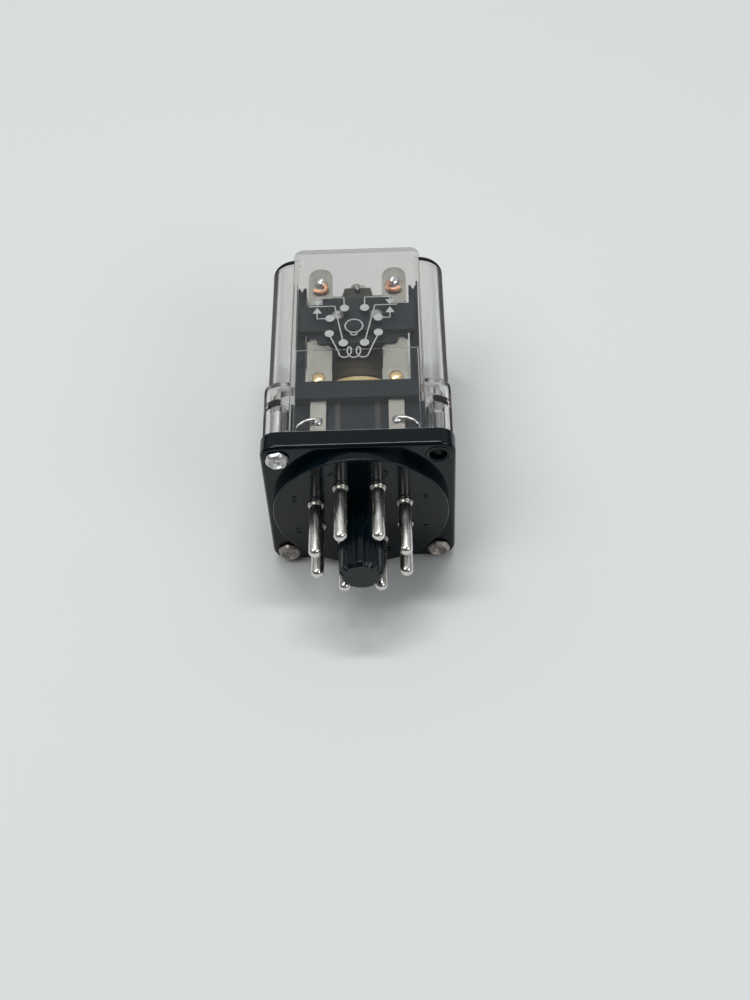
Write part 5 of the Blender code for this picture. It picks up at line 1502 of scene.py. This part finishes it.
bobbin_radius = bobbin_high[0] - 0.5
half_bobbin = [
    (0, bobbin_radius - EDGE_ROUND), (EDGE_ROUND, bobbin_radius),
    (BOBBIN_FLANGE - EDGE_ROUND, bobbin_radius), (BOBBIN_FLANGE, bobbin_radius - EDGE_ROUND),
    (BOBBIN_FLANGE, BARREL_RADIUS),
]
bobbin = turned("moulded_bobbin", [
    *((bobbin_low[1] + height, radius) for height, radius in half_bobbin),
    *((bobbin_high[1] - height, radius) for height, radius in reversed(half_bobbin)),
], (0, 0, 0), sides=96)
bored(bobbin, BOBBIN_BORE, bobbin_low[1], bobbin_high[1])
settle(bobbin, NYLON, RELAY, "bobbin")
print("bobbin radius:", round(bobbin_radius, 2), "mm")

# %% The winding under its tape
TAPE_TURNS = 6
WINDING_BORE = 4.9
winding_radius = winding_high[0]
winding_start, winding_end = winding_low[1], winding_high[1]
lay = (winding_end - winding_start - 0.4) / TAPE_TURNS
tape_stations = [(winding_start, winding_radius - 0.6), (winding_start + 0.1, winding_radius - 0.25)]
for turn_number in range(TAPE_TURNS):
    first = winding_start + 0.2 + turn_number * lay
    tape_stations += [
        (first, winding_radius - 0.10), (first + 0.05, winding_radius - 0.01),
        (first + lay - 0.03, winding_radius - 0.09),
    ]
tape_stations += [(winding_end - 0.1, winding_radius - 0.25), (winding_end, winding_radius - 0.6)]
winding = turned("taped_winding", tape_stations, (0, 0, 0), sides=96)
bored(winding, WINDING_BORE, winding_start, winding_end)
settle(winding, TAPE, RELAY, "coil_winding")
print("winding radius:", round(winding_radius, 2), "mm")

# %% The core with its stud and its slotted pole
CORE_RADIUS = 3.5
STUD_RADIUS = 2.0
THREAD_PITCH = 0.5
THREAD_DEPTH = 0.2
core_low, core_high = inside("core")
shoulder_y, pole_y = bobbin_low[1], core_high[1]
thread = []
height = core_low[1] + 0.35
while height < shoulder_y - 0.8:
    crest = STUD_RADIUS - 0.02
    thread += [(height, crest), (height + THREAD_PITCH / 2, crest - THREAD_DEPTH)]
    height += THREAD_PITCH
core = turned("pole_core", [
    (core_low[1], STUD_RADIUS - 0.4), *thread,
    (shoulder_y - 0.3, STUD_RADIUS - 0.1), (shoulder_y, STUD_RADIUS - 0.1),
    (shoulder_y, CORE_RADIUS), (pole_y - EDGE_ROUND, CORE_RADIUS), (pole_y, CORE_RADIUS - EDGE_ROUND),
], (0, 0, 0), sides=64)
carve(core, block("slot", 0.8, 1.8, pole_y - 1.7, pole_y + 1, -4.5, 4.5))
flatten(core)
settle(core, IRON, RELAY, "core")
print("core length:", round(pole_y - core_low[1], 2), "mm")

# %% [markdown]
# ## Screws and rivets
# Two slotted screws hold the contact block to the base, one in the trough and one on the deck.
# Two brass rivets, gone dull, hold the card to the armature's leg. Heads are turned, and the
# screws' slots are cut with a block.

# %% Block screws
SHANK_RADIUS = 0.85
SLOT_HALF_WIDTH = 0.2
SLOT_DEPTH = 0.42
for name in ("front", "back"):
    low, high = inside(f"block_screw_{name}")
    head, top = high[1] - 0.9, high[1]
    screw_z = middle_of(f"block_screw_{name}")[2]
    screw = turned(f"slotted_screw_{name}", [
        (low[1], 0.5), (low[1] + 0.34, SHANK_RADIUS), (head, SHANK_RADIUS), (head, 1.42),
        (head + 0.08, 1.5), (head + 0.45, 1.5), (head + 0.68, 1.34), (head + 0.82, 1.05), (top, 0.6),
    ], (0, 0, screw_z))
    slot_near, slot_far = screw_z - SLOT_HALF_WIDTH, screw_z + SLOT_HALF_WIDTH
    carve(screw, block("slot", -2, 2, top - SLOT_DEPTH, top + 1, slot_near, slot_far))
    flatten(screw)
    settle(screw, STEEL, RELAY, f"block_screw_{name}")
print("screws: 2, heads 3 mm across")

# %% Card rivets
for side in ("left", "right"):
    low, high = inside(f"card_rivet_{side}")
    x, y, _ = middle_of(f"card_rivet_{side}")
    front = high[2] - 0.4
    rivet = turned(f"brass_rivet_{side}", [
        (low[2], 0.85), (low[2] + 0.25, 1.1), (low[2] + 0.4, 1.15), (low[2] + 0.4, 0.65), (front, 0.65),
        (front, 1.12), (front + 0.05, 1.15), (front + 0.14, 1.12), (front + 0.28, 0.95), (front + 0.36, 0.70),
        (high[2], 0.45), (high[2] - 0.04, 0.30), (high[2] - 0.08, 0.12),
    ], (x, y, 0), "Z", 40)
    smooth(rivet, 50)
    settle(rivet, DULL_BRASS, ARMATURE, f"card_rivet_{side}")
print("card rivets: 2")
